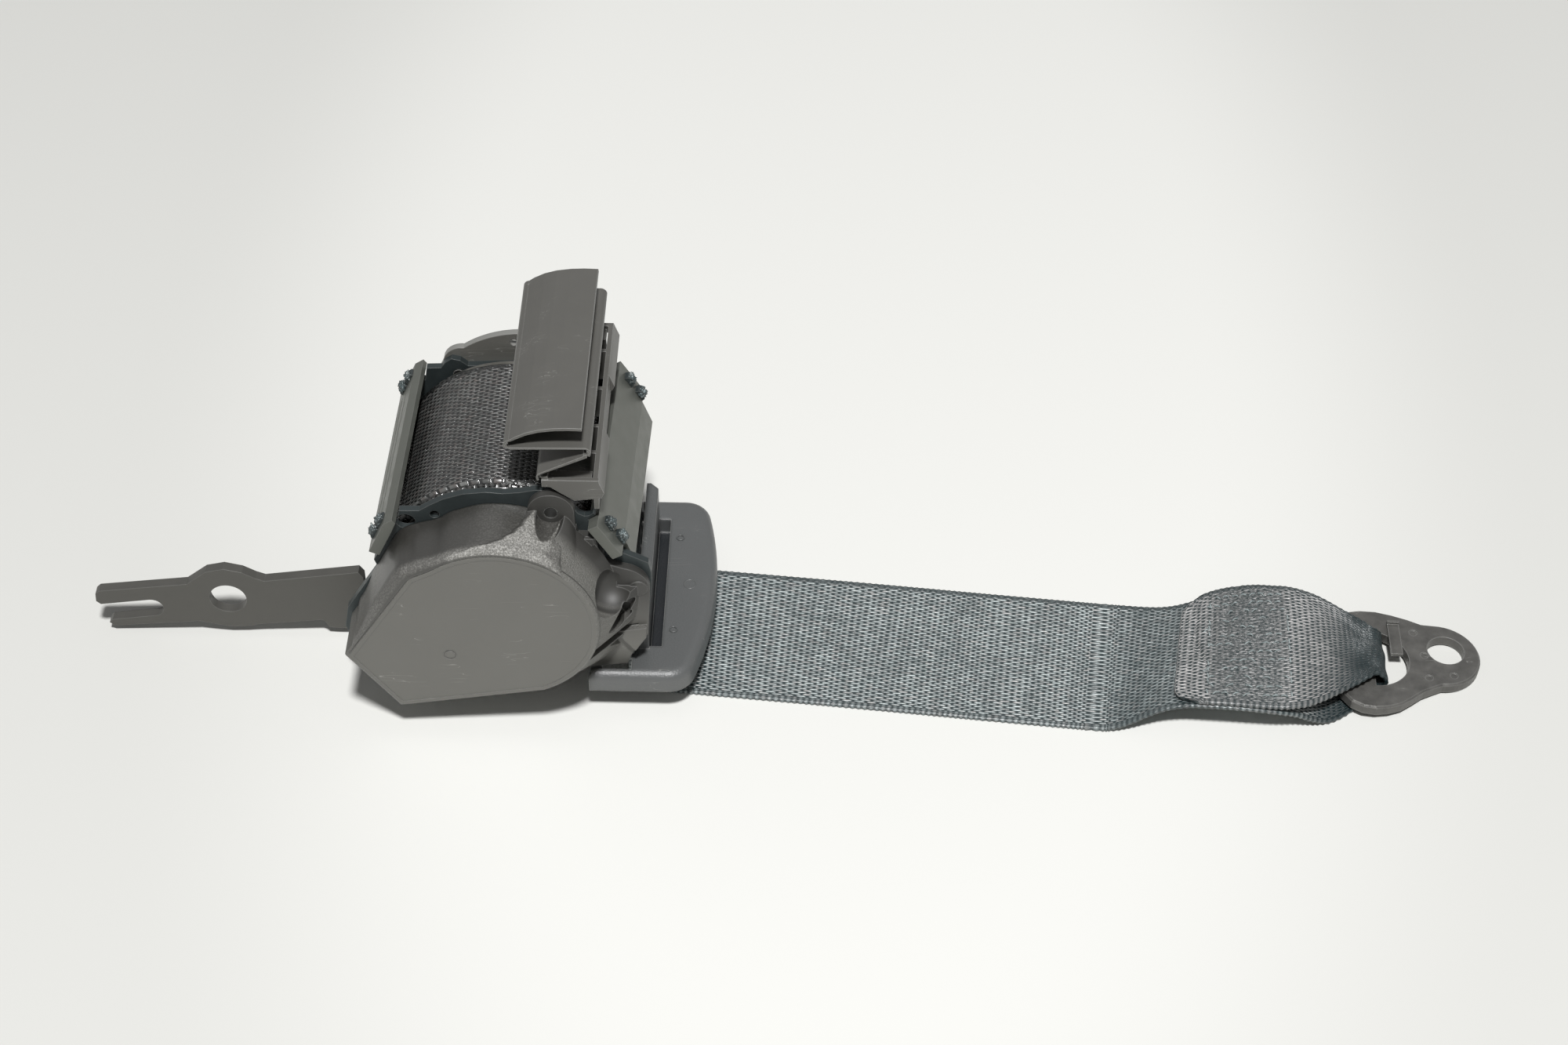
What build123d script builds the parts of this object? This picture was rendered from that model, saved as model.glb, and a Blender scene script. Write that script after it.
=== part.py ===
from build123d import *
import math
import os

os.makedirs("parts", exist_ok=True)

# Retractor seat belt, laid on a table as in the photo. Millimetres.
# X runs along the webbing, Y along the spool axis away from the camera, Z up.
# The origin is on the table, straight below the spool axis, mid webbing roll.

# Driving sizes
AXIS_Z = 43.3            # spool axis above the table
FRONT_Y = -28.5          # outer face of the front side plate
REAR_Y = 31.0            # outer face of the rear side plate
PLATE_T = 2.0            # side plate thickness
TIE_T = 3.0              # tie plate thickness
COVER_FACE_Y = -45.0     # front face of the spring cover
COVER_WALL = 1.8
BELT_W = 48.0            # webbing width
BELT_T = 1.2             # webbing thickness
ROLL_R = 32.4            # radius of the wound webbing
ROLL_Y0, ROLL_Y1 = -24.0, 26.0
SPOOL_R = 12.0           # spool barrel radius
FLANGE_R = 30.4          # spool flange radius, a little under the roll
SHAFT_R = 5.0            # spool shaft radius
STRAP_T = 3.0            # mounting strap thickness
STRAP_Y = -8.5           # front face of the mounting strap
BOLT_HOLE_R = 5.25       # holes for the M10 mounting bolts
FORK_SLOT = 6.5          # width of the strap's fork slot
LEAF_T = 0.85            # moulded guide leaf thickness
BEZEL_TOP = 15.5         # top of the bezel plate
BEZEL_BOTTOM = 9.0       # lower edge of the bezel rim
FITTING_T = 3.0          # end fitting thickness
SKEW = math.radians(5.5)  # how far the webbing runs off square to the spool


def at_y(y):
    """Work plane facing the camera side: local x is X, local y is Z."""
    return Plane(origin=(0, y, 0), x_dir=(1, 0, 0), z_dir=(0, -1, 0))


def slab(points, y0, y1):
    """Plate with the outline given as (x, z) points, from y0 to y1."""
    return extrude(at_y(y0) * make_face(Polyline(*points, close=True)), -(y1 - y0))


def disc(x, z, r, y0, y1):
    """Cylinder along Y."""
    return extrude(at_y(y0) * Pos(x, z) * Circle(r), -(y1 - y0))


def block(x0, x1, y0, y1, z0, z1):
    return Pos((x0 + x1) / 2, (y0 + y1) / 2, (z0 + z1) / 2) * Box(x1 - x0, y1 - y0, z1 - z0)


def arc_points(cx, cz, r, a0, a1, n):
    """Points on an arc, angles in degrees from +X, turning towards +Z."""
    return [(cx + r * math.cos(math.radians(a0 + (a1 - a0) * i / n)),
             cz + r * math.sin(math.radians(a0 + (a1 - a0) * i / n))) for i in range(n + 1)]


def on_circle(c, r, deg):
    return (c[0] + r * math.cos(math.radians(deg)), c[1] + r * math.sin(math.radians(deg)))


def ring(x, z, r_in, r_out, a0, a1, y0, y1, n=10):
    """Part of a tube along Y, between two angles."""
    return slab(arc_points(x, z, r_out, a0, a1, n) + arc_points(x, z, r_in, a1, a0, n), y0, y1)


def ribbon(stations):
    """Flat band through stations of (left edge, right edge, thickness, lift)."""
    wires = []
    mids = [(Vector(*a) + Vector(*b)) * 0.5 for a, b, t, lift in stations]
    for i, (a, b, t, lift) in enumerate(stations):
        along = mids[min(i + 1, len(mids) - 1)] - mids[max(i - 1, 0)]
        across = Vector(*b) - Vector(*a)
        n = along.cross(across).normalized()
        c = [Vector(*a) + n * (lift - t / 2), Vector(*b) + n * (lift - t / 2),
             Vector(*b) + n * (lift + t / 2), Vector(*a) + n * (lift + t / 2)]
        wires.append(Wire.make_polygon(c, close=True))
    return Solid(Solid.make_loft(wires, ruled=True).wrapped)


def save(shape, name):
    export_step(shape, f"parts/{name}.step")


# Side plates

# The top edge follows the photo: a low shoulder at the left, a wave over the roll
PLATE_TOP = [(-26.1, 69.5), (-20.8, 69.6), (-18.0, 71.6), (-14.1, 74.0), (-8.7, 76.0),
             (-2.6, 76.8), (1.8, 76.4), (6.2, 76.9), (10.6, 77.9), (19.0, 78.0)]
# Arched cut-out under the web guide
PLATE_ARCH = [(19.4, 75.0), (20.0, 71.6), (21.4, 69.6), (23.0, 68.7), (24.4, 69.0), (25.4, 70.0), (26.0, 69.4),
              (23.9, 67.5)]
PLATE_LOW = [(39.6, 51.6), (40.3, 48.0), (40.2, 42.8), (38.7, 26.0), (33.6, 17.4),
             (20.8, 17.0), (8.0, 14.0), (0.0, 3.0), (-30.0, 3.0), (-41.0, 14.0),
             (-44.6, 25.0), (-43.3, 32.3), (-33.6, 48.4), (-34.4, 51.0)]
# The rear plate is lower and narrower: one lobe at the left, one lug below the right tie plate
REAR_PLATE_TOP = [(-25.0, 69.1), (-20.9, 69.3), (-19.7, 71.2), (-17.8, 72.7), (-15.4, 72.1), (-13.3, 70.2),
                  (-6.0, 70.6), (4.0, 71.2), (12.0, 73.0), (19.0, 75.0)]
REAR_PLATE_LOW = [(34.6, 53.0), (34.5, 48.4), (36.2, 46.6), (36.6, 44.6), (35.8, 42.8), (34.3, 42.0), (33.8, 30.0), (31.0, 18.0),
                  (20.8, 17.0), (8.0, 14.0), (0.0, 3.0), (-30.0, 3.0), (-37.0, 13.0),
                  (-38.6, 26.0), (-35.4, 40.0), (-33.8, 48.4), (-33.4, 50.4)]

# Tie plate sections, as (x, z) of the outer face ends, at the front plate
LEFT_LOW = (-34.9, 57.0)
LEFT_UP = (-30.2, 67.2)
RIGHT_UP = (26.8, 69.0)
RIGHT_LOW = (33.0, 58.3)
RIGHT_SHIFT = 2.0        # the right tie plate stands this much further out at its rear end
LEFT_SHIFT = 1.5         # and the left one this much further in
RIGHT_Y0, RIGHT_Y1 = -32.5, 33.5
LEFT_Y0, LEFT_Y1 = -31.5, 33.0
BASE_TABS = (-20.0, -6.0)


def unit(p, q):
    d = math.hypot(q[0] - p[0], q[1] - p[1])
    return ((q[0] - p[0]) / d, (q[1] - p[1]) / d)


RIGHT_DIR = unit(RIGHT_UP, RIGHT_LOW)
RIGHT_IN = (RIGHT_DIR[1], -RIGHT_DIR[0])       # from the outer face towards the axis
RIGHT_LEN = math.hypot(RIGHT_LOW[0] - RIGHT_UP[0], RIGHT_LOW[1] - RIGHT_UP[1])
LEFT_DIR = unit(LEFT_LOW, LEFT_UP)
LEFT_IN = (LEFT_DIR[1], -LEFT_DIR[0])


def right_shift(y):
    return RIGHT_SHIFT * (y - RIGHT_Y0) / (RIGHT_Y1 - RIGHT_Y0)


def right_point(along, inwards, y):
    """Point on the right tie plate: distance along its face and in from the outer face."""
    return (RIGHT_UP[0] + RIGHT_DIR[0] * along + RIGHT_IN[0] * inwards + right_shift(y),
            RIGHT_UP[1] + RIGHT_DIR[1] * along + RIGHT_IN[1] * inwards)


def left_point(along, inwards, y):
    """The same on the left tie plate."""
    shift = LEFT_SHIFT * (y - LEFT_Y0) / (LEFT_Y1 - LEFT_Y0)
    return (LEFT_LOW[0] + LEFT_DIR[0] * along + LEFT_IN[0] * inwards + shift,
            LEFT_LOW[1] + LEFT_DIR[1] * along + LEFT_IN[1] * inwards)


def left_section(y):
    """Left tie plate at y: flat, with its upper edge rolled in a little."""
    upper = left_point(11.23, 0.0, y)
    return [left_point(0.0, 0.0, y), upper, (upper[0] + 2.4, upper[1] + 1.6), (upper[0] + 3.3, upper[1] + 0.3),
            left_point(9.4, TIE_T, y), left_point(0.0, TIE_T, y)]


TAB_W = 3.0              # width of the tabs that hold the tie plates
LEFT_TABS = (4.2, 8.7)   # places of the tabs along the two tie plates
RIGHT_TABS = (4.6, 10.2)
LEFT_HEAD, RIGHT_HEAD = 1.2, 1.9     # how far the staked tab ends stand out


def tab(point, y0, y1, along, out, depth, grow):
    """Tab of a side plate through a tie plate; point(along, inwards, y) gives the tie plate's places."""
    half = TAB_W / 2 + grow
    y = (y0 + y1) / 2
    return slab([point(along - half, depth, y), point(along + half, depth, y),
                 point(along + half, -out, y), point(along - half, -out, y)], y0 - grow, y1 + grow)


def staked_tab(point, y0, y1, along, head):
    """Tab with its end hammered over into a rounded lump."""
    y = (y0 + y1) / 2
    lump = [point(along - 1.9, -0.07, y), point(along - 1.7, -0.6 * head, y), point(along - 0.8, -head, y),
            point(along + 0.7, -0.9 * head, y), point(along + 1.7, -0.5 * head, y), point(along + 1.9, -0.07, y)]
    return tab(point, y0, y1, along, 0.1, TIE_T + 1.5, 0.0) + slab(lump, y0 - 0.3, y1 + 0.3)


def base_tab(y0, y1, x, grow=0.0):
    return block(x - 3 - grow, x + 3 + grow, y0 - grow, y1 + grow, 0.6, 4.0)


def side_plate(y0, y1, top, low):
    """Steel side plate with its tabs, between a top edge and a lower edge."""
    mid = (y0 + y1) / 2
    arch = [(x + right_shift(mid), z) for x, z in PLATE_ARCH]
    seat = [right_point(1.5, TIE_T + 0.02, mid), right_point(RIGHT_LEN + 0.5, TIE_T + 0.02, mid)]
    left = [left_point(-1.2, TIE_T + 0.03, mid), left_point(9.3, TIE_T + 0.03, mid), left_point(9.8, TIE_T + 1.0, mid)]
    shape = slab(top + arch + seat + low + left, y0, y1)
    for along in LEFT_TABS:
        shape += staked_tab(left_point, y0, y1, along, LEFT_HEAD)
    for along in RIGHT_TABS:
        shape += staked_tab(right_point, y0, y1, along, RIGHT_HEAD)
    for x in BASE_TABS:
        shape += base_tab(y0, y1, x)
    return shape - disc(0, AXIS_Z, 8.0, y0 - 1, y1 + 1)


BOSS_AT = (14.5, 72.1)   # screw boss of the spring cover
front_plate = side_plate(FRONT_Y, FRONT_Y + PLATE_T, PLATE_TOP, PLATE_LOW)
front_plate -= disc(-24.6, 65.6, 2.6, FRONT_Y - 1, FRONT_Y + 3)
front_plate -= disc(-16.7, 68.4, 1.3, FRONT_Y - 1, FRONT_Y + 3)
front_plate -= disc(*BOSS_AT, 1.6, FRONT_Y - 1, FRONT_Y + 3)
front_plate -= disc(-36.0, 28.0, 1.6, FRONT_Y - 1, FRONT_Y + 3)
front_plate -= disc(33.4, 37.6, 1.6, FRONT_Y - 1, FRONT_Y + 3)
rear_plate = side_plate(REAR_Y - PLATE_T, REAR_Y, REAR_PLATE_TOP, REAR_PLATE_LOW)
rear_plate -= disc(-25.0, 31.0, 1.52, REAR_Y - 3, REAR_Y + 1)
# Pins of the rear cover: x, z and the length of the post each one fits
REAR_PINS = ((-24.0, 20.5, 13.4), (24.6, 30.0, 13.4), (-16.0, 67.4, 7.0))
for px, pz, post in REAR_PINS:
    rear_plate -= disc(px, pz, 1.6, REAR_Y - 3, REAR_Y + 1)
save(front_plate, "front_side_plate")
save(rear_plate, "rear_side_plate")

# Tie plates

left_tie = loft([at_y(y) * make_face(Polyline(*left_section(y), close=True)) for y in (LEFT_Y0, LEFT_Y1)])
for y0 in (FRONT_Y, REAR_Y - PLATE_T):
    for along in LEFT_TABS:
        left_tie -= tab(left_point, y0, y0 + PLATE_T, along, 4.0, 8.0, 0.05)
# Two rolled stiffening grooves along the outer face
for along in (3.4, 6.6):
    ends = [left_point(along, 0.0, y) for y in (FRONT_Y + 5, REAR_Y - 5)]
    groove = [at_y(y) * Pos(x, z) * Circle(0.5) for (x, z), y in zip(ends, (FRONT_Y + 5, REAR_Y - 5))]
    left_tie -= loft(groove)
save(left_tie, "left_tie_plate")


def right_prism(first, last, depth, y0, y1):
    """Strip of the right tie plate, following its slight run-out."""
    wires = []
    for y in (y0, y1):
        pts = [right_point(first, 0.0, y), right_point(last, 0.0, y),
               right_point(last, depth, y), right_point(first, depth, y)]
        wires.append(Wire.make_polygon([Vector(px, y, pz) for px, pz in pts], close=True))
    return Solid(Solid.make_loft(wires, ruled=True).wrapped)


right_tie = right_prism(0.0, RIGHT_LEN, TIE_T, RIGHT_Y0, RIGHT_Y1)
# Flange turned down along the outer edge, with its sheared face towards the bezel
flange_wires = []
for y in (FRONT_Y + PLATE_T + 0.4, REAR_Y - PLATE_T - 0.4):
    px, pz = right_point(RIGHT_LEN, 0, y)
    qx, qz = right_point(RIGHT_LEN, TIE_T, y)
    flange_wires.append(Wire.make_polygon([Vector(px, y, pz), Vector(px + 2.6, y, pz - 7.5),
                                           Vector(px + 0.4, y, pz - 8.2), Vector(qx, y, qz)], close=True))
right_tie += Solid(Solid.make_loft(flange_wires, ruled=True).wrapped)
for y0 in (FRONT_Y, REAR_Y - PLATE_T):
    for along in RIGHT_TABS:
        right_tie -= tab(right_point, y0, y0 + PLATE_T, along, 4.0, 8.0, 0.05)
save(right_tie, "right_tie_plate")

base_tie = block(-26.0, 0.0, FRONT_Y, 33.0, 0.0, 3.0)
for y0 in (FRONT_Y, REAR_Y - PLATE_T):
    for x in BASE_TABS:
        base_tie -= block(x - 3.05, x + 3.05, y0 - 1.0 if y0 < 0 else y0 - 0.05, y0 + PLATE_T + 0.05, -1, 4)
RIVETS = [(-19.0, 1.5), (-10.0, 1.5)]
for x, y in RIVETS:
    base_tie -= Pos(x, y, 1.5) * Cylinder(1.55, 4)
save(base_tie, "base_tie_plate")

# Mounting strap: stands on edge beside the retractor, its foot riveted to the base

def strap_profile():
    """Strap outline with the fork slot at the left end."""
    slot_top = [(-118.0, 11.0), (-104.0, 13.1)]
    end = arc_points(-103.5, 9.9, 3.2, 82, -82, 10)
    slot_low = [(-104.2, 6.6), (-115.6, 4.8)]
    lower = [(-116.6, 3.6), (-115.0, 2.4), (-90.5, 4.9), (-86.0, 3.7), (-81.5, 2.9), (-77.5, 3.2),
             (-73.0, 4.2), (-55.6, 6.3), (-54.6, 5.4), (-53.8, 3.4), (-51.0, 3.1), (-24.0, 3.1)]
    foot = [(-24.0, 6.1), (-33.0, 7.6), (-42.3, 17.0), (-42.3, 23.6), (-43.6, 25.6)]
    upper = [(-70.4, 21.4), (-72.8, 22.4), (-76.4, 24.6), (-81.5, 25.9), (-86.6, 24.6), (-90.2, 21.6),
             (-92.6, 19.6), (-117.8, 16.2), (-119.0, 15.0), (-119.2, 12.2)]
    return slot_top + end + slot_low + lower + foot + upper


strap = slab(strap_profile(), STRAP_Y, STRAP_Y + STRAP_T)
strap -= disc(-81.5, 14.2, BOLT_HOLE_R, STRAP_Y - 1, STRAP_Y + STRAP_T + 1)
strap += block(-24.1, -5.0, STRAP_Y, 7.0, 3.05, 6.05)
for x, y in RIVETS:
    strap -= Pos(x, y, 4.5) * Cylinder(1.55, 5)
save(strap, "mounting_strap")


def rivet(x, y, z0, z1):
    """Rivet with a flat countersunk foot and a low round head."""
    shank = Pos(x, y, (z0 + z1) / 2) * Cylinder(1.5, z1 - z0)
    head = Pos(x, y, z1 + 0.5) * Cylinder(2.8, 1.0)
    return shank + head


save(rivet(*RIVETS[0], 0.2, 6.05), "strap_rivet_outer")
save(rivet(*RIVETS[1], 0.2, 6.05), "strap_rivet_inner")

# Spring cover: round face with a flat lower left, straight skirt, screw boss with two ramps, lobe at the right

FACE_CX, FACE_CZ, FACE_R = 0.0, 42.6, 27.3
FACE_START, FACE_END = 128.0, -66.0     # the face's arc, from the upper left clockwise
FLANGE_Y = FRONT_Y - 2.4                # front of the cover's flange and of its screw boss


def face_outline(inset=0.0):
    """Face of the cover: four straight edges and one long arc."""
    start = on_circle((FACE_CX, FACE_CZ), FACE_R, FACE_START)
    end = on_circle((FACE_CX, FACE_CZ), FACE_R, FACE_END)
    middle = on_circle((FACE_CX, FACE_CZ), FACE_R, (FACE_START + FACE_END) / 2)
    face = make_face(Curve() + [Polyline(end, (-28.8, 10.5), (-42.3, 30.1), (-23.0, 60.8), start),
                                ThreePointArc(start, middle, end)])
    return offset(face, amount=-inset, kind=Kind.INTERSECTION) if inset else face


RAMP_FLOOR = 54.0


def ramp_section(y, points):
    """Section of the ramps at y: a smooth top line over a flat bottom."""
    low = Polyline(points[-1], (points[-1][0], RAMP_FLOOR), (points[0][0], RAMP_FLOOR), points[0])
    return at_y(y) * make_face(Curve() + [Spline(*points), low])


cover = extrude(at_y(COVER_FACE_Y) * face_outline(), -(FRONT_Y - COVER_FACE_Y))
cover = fillet(cover.faces().sort_by(Axis.Y)[0].edges(), 1.4)

# Flare that widens the skirt towards the flange, on the right side only
FLARE_Y0, FLARE_Y1 = COVER_FACE_Y + 1.6, FLANGE_Y
flare = Solid.make_cone(FACE_R, FACE_R + 4.0, FLARE_Y1 - FLARE_Y0,
                        Plane(origin=(FACE_CX, FLARE_Y0, FACE_CZ), x_dir=(1, 0, 0), z_dir=(0, 1, 0)))
cover += flare & block(8.0, 40.0, FLARE_Y0, FLARE_Y1, 16.0, 72.0)

# Flange with the right lobe
LOBE_ARC = ThreePointArc((33.2, 51.6), (38.2, 48.6), (39.9, 43.4))
LOBE = Curve() + [Polyline((39.9, 43.4), (38.9, 26.7), (34.0, 18.0), (33.0, 14.8), (24.0, 13.4), (8.0, 15.6),
                           (8.0, 60.0), (20.9, 66.0), (21.4, 63.6), (25.8, 63.4), (26.4, 59.6), (27.6, 57.0), (28.2, 53.4),
                           (33.2, 51.6)), LOBE_ARC]
cover += extrude(at_y(FLANGE_Y) * make_face(LOBE), -(FRONT_Y - FLANGE_Y))
# Small rectangular latch on the flange, beside the boss
cover += block(21.6, 25.6, FLANGE_Y - 0.9, FRONT_Y, 61.0, 63.4)

# Screw boss, and the two ramps that run from it down to the rim of the face
BOSS_R, BOSS_WELL_R = 6.2, 3.75
cover += disc(*BOSS_AT, BOSS_R, FLANGE_Y, FRONT_Y) + block(8.3, 20.7, FLANGE_Y, FRONT_Y, 60.0, BOSS_AT[1])
RAMP_SECTIONS = [
    (FLANGE_Y, [(8.4, 72.4), (10.4, 72.8), (14.5, 72.3), (18.4, 70.8), (20.6, 66.9), (22.4, 60.6)]),
    (-35.5, [(6.0, 71.0), (9.6, 71.3), (14.5, 70.4), (18.7, 67.7), (21.2, 63.6), (23.0, 58.8)]),
    (-40.0, [(3.0, 69.9), (8.6, 69.3), (14.5, 67.0), (19.0, 63.7), (21.9, 60.2), (24.0, 56.9)]),
    (-44.4, [(-6.0, 67.6), (4.0, 68.1), (13.0, 65.3), (18.4, 61.2), (21.6, 57.6), (23.8, 54.4)]),
]
cover += loft([ramp_section(y, points) for y, points in RAMP_SECTIONS])
cover -= disc(*BOSS_AT, BOSS_WELL_R, -60, FLANGE_Y)

# Wide flare behind the lobe's pocket and its lower pads, a scoop above it, and the marks on the flange
wide = Solid.make_cone(FACE_R, FACE_R + 9.6, FLARE_Y1 - FLARE_Y0,
                       Plane(origin=(FACE_CX, FLARE_Y0, FACE_CZ), x_dir=(1, 0, 0), z_dir=(0, 1, 0)))
cover += wide & block(18.0, 40.0, FLARE_Y0, FLARE_Y1, 33.0, 45.4)
cover += wide & block(12.0, 40.0, FLARE_Y0, FLARE_Y1, 15.6, 28.4)
cover += slab([(29.8, 28.8), (38.7, 30.4), (38.5, 26.8), (35.4, 21.4)], FLANGE_Y - 1.6, FRONT_Y)
cover -= Pos(30.4, FLANGE_Y - 6.6, 48.6) * Sphere(6.8)
cover += disc(36.8, 44.4, 2.5, FLANGE_Y - 0.35, FRONT_Y)
POCKET = Pos(32.6, 38.9) * Rot(0, 0, 58) * SlotOverall(9.6, 3.6)
cover -= extrude(at_y(-50) * POCKET, -(FLANGE_Y - 0.2 + 50))
cover -= slab([(28.6, 27.4), (30.9, 28.2), (35.8, 19.4), (33.6, 18.0)], -50, FLANGE_Y)
cover -= slab([(31.2, 29.6), (36.4, 30.7), (36.5, 30.2), (31.3, 29.1)], -50, FLANGE_Y + 0.6)

# Hollow for the spring cassette, and the holes for its pins
HOLLOW_R = 24.6
cover -= disc(0, FACE_CZ, HOLLOW_R, COVER_FACE_Y + COVER_WALL, FRONT_Y + 1)
cover -= slab([(-38.0, 30.0), (-24.0, 53.0), (-24.0, 20.0), (-28.0, 14.0)], COVER_FACE_Y + COVER_WALL, FRONT_Y + 1)
cover -= disc(*BOSS_AT, 1.95, FLANGE_Y - 1, FLANGE_Y + 1.2) + disc(*BOSS_AT, 1.6, FLANGE_Y - 1, FRONT_Y + 1)
cover -= disc(-36.0, 28.0, 1.6, COVER_FACE_Y + COVER_WALL, FRONT_Y + 1)
cover -= disc(33.4, 37.6, 1.6, -36, FRONT_Y + 1)
# Sunk face inside the rim, and the small moulding ring on it
cover -= extrude(at_y(COVER_FACE_Y) * face_outline(2.0), -0.15)
cover -= disc(-13.6, 31.6, 1.8, COVER_FACE_Y, COVER_FACE_Y + 0.35) - disc(-13.6, 31.6, 1.3, COVER_FACE_Y - 1, COVER_FACE_Y + 1)
save(cover, "spring_cover")

save(disc(*BOSS_AT, 1.82, FLANGE_Y + 0.1, FLANGE_Y + 1.1) + disc(*BOSS_AT, 1.56, FLANGE_Y + 1.1, FRONT_Y + PLATE_T + 1.0),
     "cover_screw")
save(disc(33.4, 37.6, 1.58, FLANGE_Y + 0.1, FRONT_Y + PLATE_T + 0.8), "cover_pin_right")
save(disc(-36.0, 28.0, 1.58, COVER_FACE_Y + COVER_WALL + 0.5, FRONT_Y + PLATE_T + 0.8), "cover_pin_left")

# Spring cassette: thin cup inside the cover, with the power spring and its arbor

CASS_Y0, CASS_Y1 = COVER_FACE_Y + COVER_WALL + 0.2, -33.0
cassette = disc(0, AXIS_Z, 23.6, CASS_Y0, CASS_Y1) - disc(0, AXIS_Z, 22.6, CASS_Y0 + 0.8, CASS_Y1 + 1)
cassette -= disc(0, AXIS_Z, 3.4, CASS_Y0 - 1, CASS_Y1)
save(cassette, "spring_cassette")

SPRING_T = 0.45
turns = 7
spiral_out, spiral_in = [], []
steps = turns * 16
for i in range(steps + 1):
    a = 2 * math.pi * turns * i / steps
    r = 7.2 + (22.1 - 7.2) * i / steps
    spiral_out.append((r * math.cos(a), AXIS_Z + r * math.sin(a)))
    spiral_in.append(((r - SPRING_T) * math.cos(a), AXIS_Z + (r - SPRING_T) * math.sin(a)))
save(slab(spiral_out + spiral_in[::-1], CASS_Y0 + 1.3, CASS_Y1 - 0.3), "power_spring")

arbor = disc(0, AXIS_Z, 6.2, CASS_Y0 + 1.2, -31.5)
arbor -= disc(0, AXIS_Z, 3.0, CASS_Y0 + 0.5, -31)
save(arbor, "spring_arbor")

# Spool, shaft and bushes

spool = disc(0, AXIS_Z, SPOOL_R, ROLL_Y0 - 1.4, ROLL_Y1 + 1.4)
spool += disc(0, AXIS_Z, FLANGE_R, ROLL_Y0 - 1.4, ROLL_Y0 - 0.2)
spool += disc(0, AXIS_Z, FLANGE_R, ROLL_Y1 + 0.2, ROLL_Y1 + 1.4)
spool -= disc(0, AXIS_Z, SHAFT_R + 0.02, -40, 40)
# Slot that holds the inner end of the webbing
spool -= block(-SPOOL_R - 1, -SHAFT_R - 2.5, ROLL_Y0 + 1, ROLL_Y1 - 1, AXIS_Z - 1.0, AXIS_Z + 1.0)
save(spool, "spool")

shaft = disc(0, AXIS_Z, SHAFT_R, -31.5, 36.5) + disc(0, AXIS_Z, 2.95, CASS_Y0 + 1.4, -31.5)
save(shaft, "spool_shaft")

for name, y0, y1, face0, face1 in (("front_bush", FRONT_Y, FRONT_Y + PLATE_T, FRONT_Y + PLATE_T, FRONT_Y + PLATE_T + 0.7),
                                   ("rear_bush", REAR_Y - PLATE_T, REAR_Y, REAR_Y - PLATE_T - 0.7, REAR_Y - PLATE_T)):
    bush = disc(0, AXIS_Z, 7.98, y0, y1) + disc(0, AXIS_Z, 9.5, face0, face1)
    bush -= disc(0, AXIS_Z, SHAFT_R + 0.06, y0 - 5, y1 + 5)
    save(bush, name)

roll = disc(0, AXIS_Z, ROLL_R, ROLL_Y0, ROLL_Y1) - disc(0, AXIS_Z, SPOOL_R + 0.02, ROLL_Y0 - 1, ROLL_Y1 + 1)
save(roll, "wound_webbing")

# Locking parts behind the rear plate

RATCHET_Y0, RATCHET_Y1 = REAR_Y + 0.6, REAR_Y + 3.4
teeth = []
TEETH = 12
for i in range(TEETH):
    a = 2 * math.pi * i / TEETH
    teeth.append((21.0 * math.cos(a), AXIS_Z + 21.0 * math.sin(a)))
    teeth.append((18.0 * math.cos(a + 0.10), AXIS_Z + 18.0 * math.sin(a + 0.10)))
ratchet = slab(teeth, RATCHET_Y0, RATCHET_Y1) - disc(0, AXIS_Z, SHAFT_R + 0.01, 0, 60)
save(ratchet, "ratchet_wheel")

PAWL_X, PAWL_Z = -25.0, 31.0
pawl = disc(PAWL_X, PAWL_Z, 3.4, RATCHET_Y0, RATCHET_Y1)
pawl += slab([(-28.2, 31.0), (-27.4, 46.0), (-24.0, 50.5), (-22.4, 49.6), (-23.6, 45.0), (-22.0, 32.0)], RATCHET_Y0, RATCHET_Y1)
pawl -= disc(PAWL_X, PAWL_Z, 1.56, 0, 60)
save(pawl, "lock_pawl")
save(disc(PAWL_X, PAWL_Z, 1.5, REAR_Y - 2.2, REAR_Y + 5.0), "pawl_pin")

SENSOR_X = 0.0
sensor = block(-11.0, 11.0, REAR_Y + 4.6, REAR_Y + 13.0, 10.5, 15.5)
sensor += block(-11.0, -9.0, REAR_Y + 4.6, REAR_Y + 13.0, 10.5, 22.0) + block(9.0, 11.0, REAR_Y + 4.6, REAR_Y + 13.0, 10.5, 20.0)
sensor -= Pos(SENSOR_X, REAR_Y + 8.8, 19.6) * Cylinder(4.6, 6.6)
save(sensor, "sensor_housing")
BALL_R = 4.0
BALL_AT = (SENSOR_X, REAR_Y + 8.8, 19.5)
rings = [Pos(0, 0, BALL_R * math.sin(a)) * RegularPolygon(BALL_R * math.cos(a), 12) for a in (-1.2, -0.6, 0.0, 0.6, 1.2)]
save(Pos(*BALL_AT) * loft(rings, ruled=True), "sensor_ball")
LEVER_X, LEVER_Z = 10.0, 25.8
lever = slab([(11.6, 24.2), (12.2, 27.4), (0.0, 26.8), (-10.0, 27.2), (-11.4, 30.0), (-12.4, 29.6), (-11.4, 25.6), (0.0, 24.9)],
             REAR_Y + 7.4, REAR_Y + 10.2)
lever -= disc(LEVER_X, LEVER_Z, 0.86, 0, 60)
save(lever, "sensor_lever")
save(disc(LEVER_X, LEVER_Z, 0.8, REAR_Y + 5.6, REAR_Y + 12.0) + block(9.2, 10.8, REAR_Y + 5.6, REAR_Y + 7.1, 20.0, 25.8)
     + block(9.2, 10.8, REAR_Y + 10.5, REAR_Y + 12.0, 20.0, 25.8), "lever_pin")

# Rear cover: cup over the locking parts; its round top shows above the rear plate

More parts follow.
